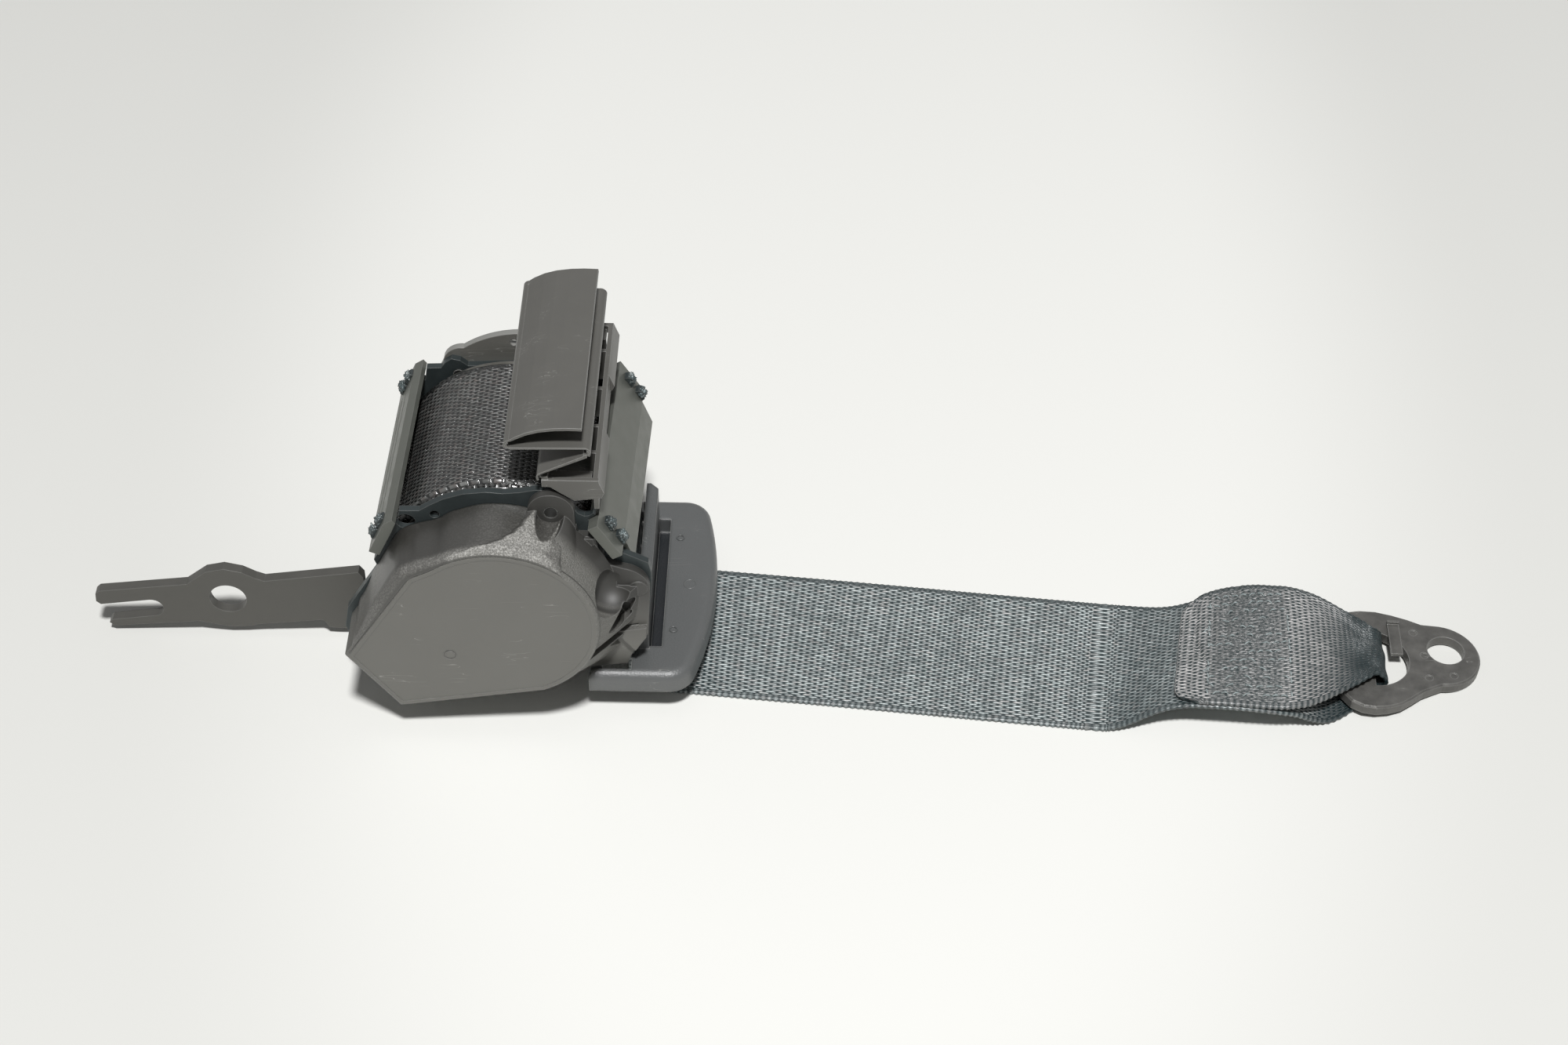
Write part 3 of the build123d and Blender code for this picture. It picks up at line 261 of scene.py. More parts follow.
def grained_nylon(name, colour, wall_colour, grain, painted_glint_share, grain_and_highlight_attribute=None, polished_from=None):
    """Glass-filled nylon from a spark-eroded mould: matt grain with painted highlights, bright specks that
    stand in for glints, where the mould opened along Y, and darker polished walls where the piece was drawn out
    of it.

    A piece that carries a grain and highlight attribute says itself where it is grained and painted with a
    highlight: 1 there, 0 where polished. On the others all is polished behind the place polished_from in Y,
    apart from the low walls, which are painted lighter for the bounce light of the table. The real grain is
    about 0.1 mm across; it is drawn coarser, so that it shows.
    """
    material, tree = new_material(name)
    place = add(tree, "TexCoord")
    normal = add(tree, "SeparateXYZ", inputs={"Vector": (place, "Normal")})
    facing = add(tree, "Math", ABSOLUTE, {0: (normal, "Y")})
    if grain_and_highlight_attribute:
        grained = add(tree, "Attribute", {"attribute_name": grain_and_highlight_attribute}), "Fac"
    else:
        grained = add(tree, "MapRange", SMOOTH, {"Value": (facing, "Value"), "From Min": 0.04,
                                                 "From Max": 0.24}), "Result"
    if polished_from:
        split = add(tree, "SeparateXYZ", inputs={"Vector": (place, "Object")})
        front = add(tree, "MapRange", inputs={"Value": (split, "Y"), "From Min": polished_from,
                                              "From Max": polished_from - 4 * MM})
        # painted bounce light: the low walls, which the table lights, keep the lighter grained colour
        low = add(tree, "MapRange", inputs={"Value": (split, "Z"), "From Min": 42 * MM, "From Max": 24 * MM})
        kept = add(tree, "Math", MULTIPLY, {0: grained, 1: (front, "Result")})
        grained = add(tree, "Math", {"operation": "MAXIMUM"}, {0: (kept, "Value"), 1: (low, "Result")}), "Value"
    not_flat = add(tree, "MapRange", SMOOTH, {"Value": (facing, "Value"), "From Min": 0.90, "From Max": 0.985,
                                              "To Min": 1.0, "To Max": 0.04})
    depth = add(tree, "Math", MULTIPLY, {0: grained, 1: (not_flat, "Result")})
    cells = add(tree, "TexVoronoi", {"feature": "SMOOTH_F1"}, {"Vector": (place, "Object"), "Scale": 1 / grain})
    fine = add(tree, "TexNoise", inputs={"Vector": (place, "Object"), "Scale": 2.2 / grain, "Detail": 3.0})
    pits = add(tree, "Math", {"operation": "MULTIPLY_ADD"}, {0: (cells, "Distance"), 1: 0.7, 2: (fine, "Fac")})
    bump = relief(tree, (pits, "Value"), (depth, "Value"), 0.3 * MM, 0.5 * MM)
    tint = mottle(tree, colour, 0.07, 14 * MM)
    tint = hairlines(tree, tint, PLASTIC_SCUFF, (0.0, 0.7, 0.0), 2.6 * MM, 0.006)
    tint = add(tree, "Mix", COLOUR_MIX, {0: grained, 6: with_alpha(wall_colour), 7: (tint, 2)})
    # painted highlight: bright specks that stand in for the glints of the grain
    painted_glints = patches(tree, (place, "Object"), 0.5 * MM, 3.0, 0.44, 0.74,
                    low=0.12 * painted_glint_share, high=painted_glint_share, crumbs=0.7)
    lit = add(tree, "Math", MULTIPLY, {0: (painted_glints, "Result"), 1: (depth, "Value")})
    tint = add(tree, "Mix", COLOUR_MIX, {0: (lit, "Value"), 6: (tint, 2), 7: PAINTED_GLINT})
    # edges lightened by wear and by a painted highlight
    tint = worn_and_highlit_edges(tree, tint, 0.35 * MM, 0.3)
    rough = add(tree, "MapRange", inputs={"Value": (depth, "Value"), "To Min": 0.55 if polished_from else 0.36,
                                          "To Max": 0.46})
    return finish_material(material, tree, tint, (rough, "Result"), bump,
                           {"IOR": 1.53, "Specular IOR Level": 0.8})


def smooth_polypropylene(name, colour, rough_low, rough_high, edge, grain=0.0, slot=None):
    """Polypropylene from a polished mould: faint flow streaks along the moulding and hairline scuffs.

    A grain in metres roughens it, as the mould of the bezel was etched. A slot, as (middle in X, half its
    width, half its length, top in Z, colour), is painted dark inside: painted shade in the recess.
    """
    material, tree = new_material(name)
    place = add(tree, "TexCoord")
    streak_space = add(tree, "Mapping", inputs={"Vector": (place, "Object"), "Scale": (1.0, 0.06, 1.0)})
    streaks = add(tree, "TexNoise", inputs={"Vector": (streak_space, "Vector"), "Scale": 1 / (1.6 * MM),
                                            "Detail": 4.0, "Roughness": 0.6})
    bump = relief(tree, (streaks, "Fac"), 0.12, 0.1 * MM, edge)
    if grain:
        etched = add(tree, "TexNoise", inputs={"Vector": (place, "Object"), "Scale": 1 / grain, "Detail": 3.0})
        bump = add(tree, "Bump", inputs={"Height": (etched, "Fac"), "Strength": 0.6, "Distance": 0.35 * grain,
                                         "Normal": (bump, "Normal")})
    tint = mottle(tree, colour, 0.09, 9 * MM)
    tint = hairlines(tree, tint, PLASTIC_SCUFF, (0.0, 0.0, 1.3), 1.8 * MM, 0.008)
    # painted shade: the inside of the slot takes a dark colour
    if slot:
        middle, half_width, half_length, top, shade = slot
        split = add(tree, "SeparateXYZ", inputs={"Vector": (place, "Object")})
        across = near_place(tree, (split, "X"), middle, 1.1 * half_width, 0.95 * half_width)
        along = near_place(tree, (split, "Y"), 0.0, half_length + 0.4 * MM, half_length)
        deep = add(tree, "MapRange", inputs={"Value": (split, "Z"), "From Min": top,
                                             "From Max": top - 1.5 * MM})
        opening = add(tree, "Math", MULTIPLY, {0: (across, "Result"), 1: (along, "Result")})
        inside = add(tree, "Math", MULTIPLY, {0: (opening, "Value"), 1: (deep, "Result")})
        tint = add(tree, "Mix", COLOUR_MIX, {0: (inside, "Value"), 6: (tint, 2), 7: with_alpha(shade)})
    # edges lightened by wear and by a painted highlight
    tint = worn_and_highlit_edges(tree, tint, 0.28 * MM, 1.0)
    rough = roughness_range(tree, 6 * MM, rough_low, rough_high, (1.0, 0.15, 1.0))
    return finish_material(material, tree, tint, (rough, "Result"), bump,
                           {"IOR": 1.49, "Specular IOR Level": 0.9 if grain else 0.6})


def coated_steel(name, colour, rough_low, rough_high, peel=0.12, rubbed=0.0):
    """Pressed steel under a thin dark coat: rolled sheet grain shows through, with soft cloudy patches.

    A rubbed share adds scuffs, stronger patches and brighter edges, partly worn and partly painted highlight.
    """
    material, tree = new_material(name)
    place = add(tree, "TexCoord")
    orange_peel = add(tree, "TexNoise", inputs={"Vector": (place, "Object"), "Scale": 1 / (0.5 * MM),
                                                "Detail": 5.0, "Roughness": 0.6})
    bump = relief(tree, (orange_peel, "Fac"), peel, 0.12 * MM, 0.25 * MM)
    tint = mottle(tree, colour, 0.14 + 1.8 * rubbed, 4 * MM, 9.0)
    if rubbed:
        tint = hairlines(tree, tint, STEEL_SCUFF, (0.0, 0.0, 0.6), 1.5 * MM, 0.012)
    tint = worn_and_highlit_edges(tree, tint, (0.35 + rubbed) * MM, 0.3 + rubbed)
    rough = roughness_range(tree, 4 * MM, rough_low, rough_high)
    return finish_material(material, tree, tint, (rough, "Result"), bump, {"Metallic": 0.35})


def turned_steel(name, colour, rough_low, rough_high):
    """Machined steel: fine tool lines round the spool axis, mid gloss."""
    material, tree = new_material(name)
    place = add(tree, "TexCoord")
    line_space = add(tree, "Mapping", inputs={"Vector": (place, "Object"), "Scale": (0.1, 6.0, 0.1)})
    lines = add(tree, "TexNoise", inputs={"Vector": (line_space, "Vector"), "Scale": 1 / (0.8 * MM),
                                          "Detail": 3.0})
    bump = add(tree, "Bump", inputs={"Height": (lines, "Fac"), "Strength": 0.15, "Distance": 0.06 * MM})
    tint = mottle(tree, colour, 0.1, 3 * MM)
    rough = roughness_range(tree, 3 * MM, rough_low, rough_high)
    return finish_material(material, tree, tint, (rough, "Result"), bump, {"Metallic": 1.0})


def scaled(tree, uv, length, width):
    """The weave map counted in units of a length along the belt and a width across it."""
    return add(tree, "Mapping", inputs={"Vector": (uv, "UV"), "Scale": (1 / length, 1 / width, 1.0)})


def woven_floats(tree, uv, split, cells, sewn):
    """Level of the warp floats, 1 on a crown and 0 in a gap, as a (node, socket) pair.

    Each row is set off by half a float from the next, and the threads wander a little. In the sewn stretch,
    the stitches have pressed the floats into lumps.
    """
    wobble = add(tree, "TexNoise", inputs={"Vector": (cells, "Vector"), "Scale": 1.3, "Detail": 2.0})
    bent = add(tree, "MixRGB", {"blend_type": "LINEAR_LIGHT"},
               {"Fac": 0.15, "Color1": (cells, "Vector"), "Color2": (wobble, "Color")})
    floats = add(tree, "TexBrick", {"offset": 0.5, "offset_frequency": 2},
                 {"Vector": (bent, "Color"), "Scale": 1.0, "Brick Width": 1.0, "Row Height": 1.0,
                  "Mortar Size": 0.24, "Mortar Smooth": 1.0, "Mortar": (0, 0, 0, 1),
                  "Color1": (1, 1, 1, 1), "Color2": (0.42, 0.42, 0.42, 1)})
    crown = add(tree, "MapRange", inputs={"Value": (floats, "Fac"), "From Min": 1.0, "From Max": 0.0})
    woven = add(tree, "Math", MULTIPLY, {0: (crown, "Result"), 1: (floats, "Color")}), "Value"
    if not sewn:
        return woven
    lump_space = scaled(tree, uv, 0.9 * MM, 0.6 * MM)
    lumps = patches(tree, (lump_space, "Vector"), 1.0, 3.0, 0.42, 0.78)
    here = near_place(tree, (split, "X"), *sewn)
    share = add(tree, "Math", MULTIPLY, {0: (here, "Result"), 1: 0.75})
    return add(tree, "Mix", VALUE_MIX, {0: (share, "Value"), 2: woven, 3: (lumps, "Result")}), 0


def corded_selvedge(tree, split, woven, webbing):
    """Level of the whole width: the woven middle, and a ridged cord along both edges, painted darker on the far
    one as shade.
    """
    turn = add(tree, "Math", MULTIPLY, {0: (split, "X"), 1: 2 * math.pi / SELVEDGE_PITCH})
    ridge = add(tree, "Math", {"operation": "COSINE"}, {0: (turn, "Value")})
    cord = add(tree, "MapRange", inputs={"Value": (ridge, "Value"), "From Min": -0.9, "From Max": 1.0,
                                         "To Min": 0.04, "To Max": 0.4})
    # painted shade: the cord on the far edge is darker
    far_edge_shade = add(tree, "MapRange", inputs={"Value": (split, "Y"), "From Min": 0.25 * webbing.width,
                                             "From Max": 0.75 * webbing.width, "To Min": 1.0, "To Max": 0.35})
    cord = add(tree, "Math", MULTIPLY, {0: (cord, "Result"), 1: (far_edge_shade, "Result")})
    off_middle = add(tree, "Math", SUBTRACT, {0: (split, "Y"), 1: webbing.width / 2})
    from_middle = add(tree, "Math", ABSOLUTE, {0: (off_middle, "Value")})
    inner = webbing.width / 2 - SELVEDGE_WIDTH
    rim = add(tree, "MapRange", inputs={"Value": (from_middle, "Value"), "From Min": inner - 0.1 * MM,
                                        "From Max": inner + 0.1 * MM})
    return add(tree, "Mix", VALUE_MIX, {0: (rim, "Result"), 2: woven, 3: (cord, "Value")})


def woven_polyester(name, light, dark, webbing, stains_and_shade=(), sewn=None, gloss=0.34, round_yarn=1.0):
    """Belt webbing: shiny warp floats in staggered rows along the belt, dark gaps, corded selvedge.

    The UV map holds metres: along the belt in U, across it in V. Stains and shade are (place, reach, share)
    along the belt, where it is painted darker: painted shade where it turns into the ring, under the cut end
    and under the guide on the roll, darker before the loop, and the sewn stretch darker with handling; sewn is
    the middle and half length of the sewn stretch.
    """
    material, tree = new_material(name)
    uv = add(tree, "UVMap", {"uv_map": "weave"})
    split = add(tree, "SeparateXYZ", inputs={"Vector": (uv, "UV")})
    cells = scaled(tree, uv, webbing.float_period, webbing.row_pitch)
    woven = woven_floats(tree, uv, split, cells, sewn)
    level = corded_selvedge(tree, split, woven, webbing)

    # Bars across the belt, where the weft was beaten up harder, and the stains and the painted shade
    bar_space = scaled(tree, uv, 2.6 * MM, 30 * MM)
    shade = patches(tree, (bar_space, "Vector"), 1.0, 2.0, 0.3, 0.7, low=0.72, high=1.12)
    for place, reach, share in stains_and_shade:
        here = near_place(tree, (split, "X"), place, reach)
        left = add(tree, "MapRange", inputs={"Value": (here, "Result"), "To Min": 1.0, "To Max": 1.0 - share})
        shade = add(tree, "Math", MULTIPLY, {0: (shade, 0), 1: (left, "Result")})
    shaded = add(tree, "Math", MULTIPLY, {0: (level, 0), 1: (shade, 0)})

    # Some threads are a little redder, and all of them are rubbed grey round the sewn stretch
    warm = patches(tree, (cells, "Vector"), 1 / 0.9, 1.0, 0.5, 0.62)
    crown_tint = add(tree, "Mix", COLOUR_MIX, {0: (warm, "Result"), 6: with_alpha(light),
                                               7: (light[0], light[1] * 0.88, light[2] * 0.86, 1.0)})
    if sewn:
        rubbed = near_place(tree, (split, "X"), sewn[0], 90 * MM)
        grey = sum(light) / 3
        crown_tint = add(tree, "Mix", COLOUR_MIX, {0: (rubbed, "Result"), 6: (crown_tint, 2),
                                                   7: (1.03 * grey, grey, 0.98 * grey, 1.0)})
    tint = add(tree, "Mix", COLOUR_MIX, {0: (shaded, "Value"), 6: with_alpha(dark), 7: (crown_tint, 2)})

    # Round yarns, and the fibres in them
    half_turn = add(tree, "Math", MULTIPLY, {0: (split, "Y"), 1: math.pi / webbing.row_pitch})
    across_row = add(tree, "Math", {"operation": "SINE"}, {0: (half_turn, "Value")})
    rounded = add(tree, "Math", ABSOLUTE, {0: (across_row, "Value")})
    profile = add(tree, "Math", MULTIPLY, {0: (rounded, "Value"), 1: woven})
    yarn = add(tree, "Bump", inputs={"Height": (profile, "Value"), "Strength": 1.0,
                                     "Distance": round_yarn * webbing.relief})
    fibre_space = scaled(tree, uv, 0.9 * MM, 0.09 * MM)
    fibres = add(tree, "TexNoise", inputs={"Vector": (fibre_space, "Vector"), "Scale": 1.0, "Detail": 2.0})
    bump = add(tree, "Bump", inputs={"Height": (fibres, "Fac"), "Strength": 0.5, "Distance": 0.1 * MM,
                                     "Normal": (yarn, "Normal")})
    return finish_material(material, tree, tint, gloss, bump, {"Specular IOR Level": 0.9})


def sewing_thread(name, light, dark):
    """Twisted polyester thread of the lock stitching: the belt's colour, a little glossier."""
    material, tree = new_material(name)
    tint = mottle(tree, [0.55 * a + 0.45 * b for a, b in zip(light, dark)], 0.8, 0.8 * MM)
    return finish_material(material, tree, tint, 0.38)


def white_table(name, colour, far_colour):
    """Laminate table top with a matt face; a painted pool of light makes it bright round the object, a little
    greyer away.
    """
    material, tree = new_material(name)
    place = add(tree, "TexCoord")
    centred = add(tree, "Mapping", inputs={
        "Vector": (place, "Object"), "Scale": (1.0, PAINTED_POOL_FLAT, 1.0),
        "Location": (-PAINTED_POOL_MIDDLE[0], -PAINTED_POOL_FLAT * PAINTED_POOL_MIDDLE[1], 0.0)})
    distance = add(tree, "VectorMath", {"operation": "LENGTH"}, {0: (centred, "Vector")})
    far = add(tree, "MapRange", SMOOTH, {"Value": (distance, "Value"), "From Min": PAINTED_POOL_REACH[0],
                                         "From Max": PAINTED_POOL_REACH[1]})
    tint = add(tree, "Mix", COLOUR_MIX, {0: (far, "Result"), 6: with_alpha(colour), 7: with_alpha(far_colour)})
    return finish_material(material, tree, tint, 0.85, others={"Specular IOR Level": 0.1})


# Mesh helpers

FLOAT_END = 0.22    # share of a float's length over which its end dips


def mesh_object(name, mesh_data, material):
    """Link a finished bmesh as an object at the origin."""
    mesh = bpy.data.meshes.new(name)
    mesh_data.to_mesh(mesh)
    mesh_data.free()
    mesh.materials.append(material)
    made = bpy.data.objects.new(name, mesh)
    bpy.context.scene.collection.objects.link(made)
    return made


def add_piece(name, mesh_data, material, body, replaced=()):
    """Make a piece that rides on a body, in place of the replaced CAD nodes."""
    piece = mesh_object(name, mesh_data, material)
    for polygon in piece.data.polygons:
        polygon.use_smooth = True
    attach(piece, body)
    if replaced:
        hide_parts(*replaced)
    return piece


def close_up(mesh_data, gap):
    """Join points closer than a gap and turn all faces outwards."""
    bmesh.ops.remove_doubles(mesh_data, verts=mesh_data.verts, dist=gap)
    bmesh.ops.recalc_face_normals(mesh_data, faces=mesh_data.faces)


def dress(names, material):
    """Give the better material to CAD nodes that are shown as they are."""
    for name in names:
        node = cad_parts[name]
        if not node.material_slots:
            node.data.materials.append(material)
        for slot in node.material_slots:
            slot.material = material


def mapped_grid(mesh_data, columns, rows, size, place, start=(0.0, 0.0)):
    """Add a grid of the given size (across, along) from a start, with its weave map in metres, then move
    each point to place(across, along)."""
    uv_layer = mesh_data.loops.layers.uv.get("weave") or mesh_data.loops.layers.uv.new("weave")
    made = bmesh.ops.create_grid(mesh_data, x_segments=columns, y_segments=rows, size=0.5)
    flat = {point: (start[0] + (point.co.x + 0.5) * size[0], start[1] + (point.co.y + 0.5) * size[1])
            for point in made["verts"]}
    for face in {face for point in flat for face in point.link_faces}:
        for loop in face.loops:
            across, along = flat[loop.vert]
            loop[uv_layer].uv = (along, across)
    for point, (across, along) in flat.items():
        point.co = place(across, along)


def round_spool(angle, radius, y):
    """Point at an angle and a radius round the spool's axis."""
    return Vector((radius * math.cos(angle), y, ROLL_AXIS_Z + radius * math.sin(angle)))


def weave_height(u, v, webbing):
    """Height of the warp floats: 1 on a crown, 0 between them; every second row is set off by half a float."""
    row = math.floor(u / webbing.row_pitch + 1e-6)
    across = u / webbing.row_pitch - row
    along = v / webbing.float_period + (0.5 if row % 2 == 0 else 0.0)
    from_crown = abs(along - math.floor(along) - 0.5)
    return math.sin(math.pi * across) * min(1.0, (0.5 - from_crown) / FLOAT_END)


def ridges(along, least, swing):
    """Ridged line of the corded edge at a length along the belt, from its least up by its swing."""
    return least + swing * math.cos(math.pi * along / SELVEDGE_PITCH) ** 2


def add_stitch(mesh_data, surface, start, end, radius):
    """Bowed thread between two (across, along) places on the outer face of the loop, drawn out of a ball."""
    rings = 8
    ball = bmesh.ops.create_uvsphere(mesh_data, u_segments=6, v_segments=rings, radius=1.0)["verts"]
    slant = (end[0] - start[0], end[1] - start[1])
    for point in ball:
        x, y, z = point.co
        ring = round(math.acos(max(-1.0, min(1.0, z))) / math.pi * rings)
        share = min(max((ring - 1) / (rings - 2), 0.0), 1.0)
        across, along = start[0] + slant[0] * share, start[1] + slant[1] * share
        near, far, out = surface.frame(along)
        point.co = surface.point(across, along, -1) - out * radius * (2.2 * math.sin(math.pi * share) - 1.0)
        if 0 < ring < rings:
            belt_way = far - near
            side_way = belt_way if abs(slant[1]) > abs(slant[0]) else out.cross(belt_way)
            turn = math.atan2(y, x)
            point.co += radius * (side_way.normalized() * math.cos(turn) + out * math.sin(turn))


# Webbing path, in millimetres: straight down off the roll, a bend at the table, along it to the ring, round
# its bar and back. A row holds the edge towards the camera and the far edge, as in the CAD ribbon.
SKEW = math.radians(5.5)            # how far the belt runs askew in the guide
EXIT_X, EXIT_Y = 33.25, 1.0         # where its middle leaves the roll
BEND_R, BEND_STEPS = 6.4, 8         # its bend at the table
BELT_REST_Z = 0.65                  # its middle surface on the table
TABLE_RUN = [
    ((90.0, -32.2, 0.65), (94.4, 15.6, 0.65)),
    ((130.0, -36.2, 0.65), (134.6, 11.6, 0.65)),
    ((160.0, -39.1, 0.65), (164.7, 8.7, 0.65)),
    ((167.0, -39.6, 1.4), (172.2, 8.1, 0.65)),
    ((172.0, -39.4, 3.6), (178.0, 7.6, 0.7)),
    ((176.6, -38.9, 6.2), (183.4, 7.4, 0.9)),
    ((181.2, -38.4, 8.2), (188.0, 7.6, 1.6)),
    ((187.0, -38.2, 9.4), (193.4, 8.0, 3.4)),
    ((193.0, -38.6, 9.8), (198.4, 8.4, 5.4)),
    ((200.0, -39.0, 9.8), (204.4, 8.2, 7.6)),
    ((207.0, -39.2, 9.2), (210.0, 7.8, 8.8)),
    ((213.0, -38.9, 8.0), (215.6, 7.0, 8.8)),
    ((217.6, -37.8, 6.0), (219.8, 6.2, 7.4)),
    ((221.4, -36.9, 3.6), (223.4, 5.2, 5.0)),
    ((225.0, -35.9, 1.6), (226.8, 4.0, 2.6)),
    ((228.6, -34.6, 0.9), (230.0, 2.4, 1.1)),
    ((233.0, -31.6, 0.85), (233.6, -0.6, 0.85)),
    ((237.4, -27.4, 0.9), (237.6, -3.4, 0.9)),
    ((240.4, -24.0, 1.0), (240.6, -5.0, 1.0)),
]
RING_TURN = [(242.5, 1.7), (243.6, 2.8), (244.0, 4.1), (243.6, 5.4), (242.4, 6.4), (240.8, 6.9)]
RING_EDGES = (-23.0, -5.4)
RETURN_RUN = [
    ((237.6, -25.4, 7.2), (238.0, -3.0, 7.4)),
    ((234.0, -27.8, 7.6), (235.0, -0.4, 8.0)),
    ((229.6, -31.0, 8.2), (231.0, 2.2, 9.0)),
    ((225.0, -34.4, 9.0), (226.6, 4.4, 10.0)),
    ((220.6, -37.2, 9.8), (222.2, 6.0, 10.6)),
    ((216.2, -38.6, 10.3), (218.0, 6.9, 10.9)),
    ((212.6, -38.9, 10.3), (214.6, 7.4, 10.6)),
    ((206.8, -39.0, 10.7), (209.4, 8.0, 10.2)),
    ((200.0, -38.8, 11.2), (203.8, 8.4, 9.0)),
    ((193.0, -38.4, 11.2), (197.8, 8.6, 6.8)),
    ((187.0, -38.0, 10.8), (192.8, 7.6, 4.7)),
    ((183.4, -37.8, 10.4), (189.4, 6.8, 3.4)),
]


def belt_stations(webbing):
    """All (near edge, far edge) pairs of the belt's middle surface, in metres."""
    half = webbing.width / MM / 2 / math.cos(SKEW)
    pairs = []

    def upright(x, z, travelled):
        middle = EXIT_Y - math.tan(SKEW) * travelled
        pairs.append(((x, middle - half, z), (x, middle + half, z)))

    drop = ROLL_AXIS_Z / MM - BELT_REST_Z - BEND_R
    for share in (0.0, 0.5, 1.0):
        upright(EXIT_X, ROLL_AXIS_Z / MM - share * drop, share * drop)
    for step in range(1, BEND_STEPS + 1):
        angle = math.pi / 2 * step / BEND_STEPS
        upright(EXIT_X + BEND_R * (1 - math.cos(angle)), BELT_REST_Z + BEND_R * (1 - math.sin(angle)),
                drop + BEND_R * angle)
    pairs += TABLE_RUN
    pairs += [((x, RING_EDGES[0], z), (x, RING_EDGES[1], z)) for x, z in RING_TURN]
    pairs += RETURN_RUN
    return [(Vector(near) * MM, Vector(far) * MM) for near, far in pairs]


def smooth_between(before, first, second, after, t):
    """Catmull-Rom point between first and second."""
    return 0.5 * (2 * first + (second - before) * t + (2 * before - 5 * first + 4 * second - after) * t * t
                  + (3 * first - before - 3 * second + after) * t ** 3)


class BeltPath:
    """Both edges of the belt as smooth lines, walked by length in metres."""
    REACH = 1.5 * MM        # how far ahead and behind the belt's direction is taken

    def __init__(self, stations):
        self.near = [pair[0] for pair in stations]
        self.far = [pair[1] for pair in stations]
        self.walked = [0.0]
        for i in range(1, len(stations)):
            step = (self.near[i] + self.far[i] - self.near[i - 1] - self.far[i - 1]).length / 2
            self.walked.append(self.walked[-1] + step)
        self.length = self.walked[-1]

    def edges(self, travelled):
        """Points of the near and the far edge at a length along the belt."""
        travelled = min(max(travelled, 0.0), self.length)
        i = 0
        while i < len(self.walked) - 2 and self.walked[i + 1] < travelled:
            i += 1
        t = (travelled - self.walked[i]) / (self.walked[i + 1] - self.walked[i])
        picks = [max(i - 1, 0), i, i + 1, min(i + 2, len(self.walked) - 1)]
        return (smooth_between(*[self.near[k] for k in picks], t),
                smooth_between(*[self.far[k] for k in picks], t))

    def frame_at(self, travelled):
        """Near edge, far edge and the unit vector out of the side that faces up on the table."""
        near, far = self.edges(travelled)
        ahead, behind = self.edges(travelled + self.REACH), self.edges(travelled - self.REACH)
        along = (ahead[0] + ahead[1] - behind[0] - behind[1]).normalized()
        out = along.cross(far - near).normalized()
        return near, far, out


# Pieces

class BELT_OT_roll(bpy.types.Operator):
    """Wound webbing on the spool, with its woven face and layered sides"""
    bl_idname = "belt.roll"
    bl_label = "Wound webbing"
    LAYERS = 17
    BARREL_RADIUS = 12 * MM
    STEP = 1.1 * MM                         # how much lower the next turn shows at an edge of the face
    SLIP, SLIP_DRIFT = 1.5 * MM, 0.5 * MM   # how far the outer turns are wound off each other, and its drift
    DIP, DIP_DRIFT = 0.5 * MM, 0.35 * MM    # grooves between the layers on the sides

    def execute(self, context):
        webbing = context.scene.belt_webbing
        width = ROLL_HIGH.y - ROLL_LOW.y
        floats = 2 * round(math.pi * ROLL_RADIUS / webbing.float_period)
        around = floats * webbing.float_period
        depth = ROLL_RADIUS - 2 * self.STEP - self.BARREL_RADIUS
        mesh_data = bmesh.new()

        def on_face(u, v):
            angle = 2 * math.pi * v / around
            slip = self.SLIP + self.SLIP_DRIFT * math.sin(angle + 0.6)
            inside = min(u, width - u)
            radius = ROLL_RADIUS - webbing.relief * (1 - weave_height(u, v, webbing))
            radius -= self.STEP * ((inside < slip) + (inside < 0.5 * slip))
            return round_spool(angle, radius, ROLL_LOW.y + u)

        def on_side(u, v, edge, way):
            angle = 2 * math.pi * v / around
            turns = u / depth * self.LAYERS
            drift = noise.noise(Vector((math.floor(turns) * 3.1, 3 * math.cos(angle), 3 * math.sin(angle))))
            groove = 1 - math.sin(math.pi * ((turns + v / around) % 1.0))
            dip = max(self.DIP * groove + self.DIP_DRIFT * drift, 0.0)
            return round_spool(angle, self.BARREL_RADIUS + u, edge + way * dip)

        mapped_grid(mesh_data, 3 * round(width / webbing.row_pitch), 4 * floats, (width, around), on_face)
        bmesh.ops.remove_doubles(mesh_data, verts=mesh_data.verts, dist=1e-6)
        for edge, way in ((ROLL_LOW.y, 1), (ROLL_HIGH.y, -1)):
            mapped_grid(mesh_data, 2 * self.LAYERS, floats, (depth, around),
                        lambda u, v: on_side(u, v, edge, way))
        close_up(mesh_data, 1e-6)
        # painted shadow of the guide, darkening the roll's webbing under it
        shadow = (0.45 * around, 0.13 * around, 0.45)       # under the guide
        material = woven_polyester("polyester_webbing_rolled", webbing.shaded_roll_light, webbing.shaded_roll_dark, webbing,
                                   [shadow], gloss=0.2, round_yarn=1.7)
        add_piece("webbing_roll", mesh_data, material, "spool", ["wound_webbing"])
        return {"FINISHED"}


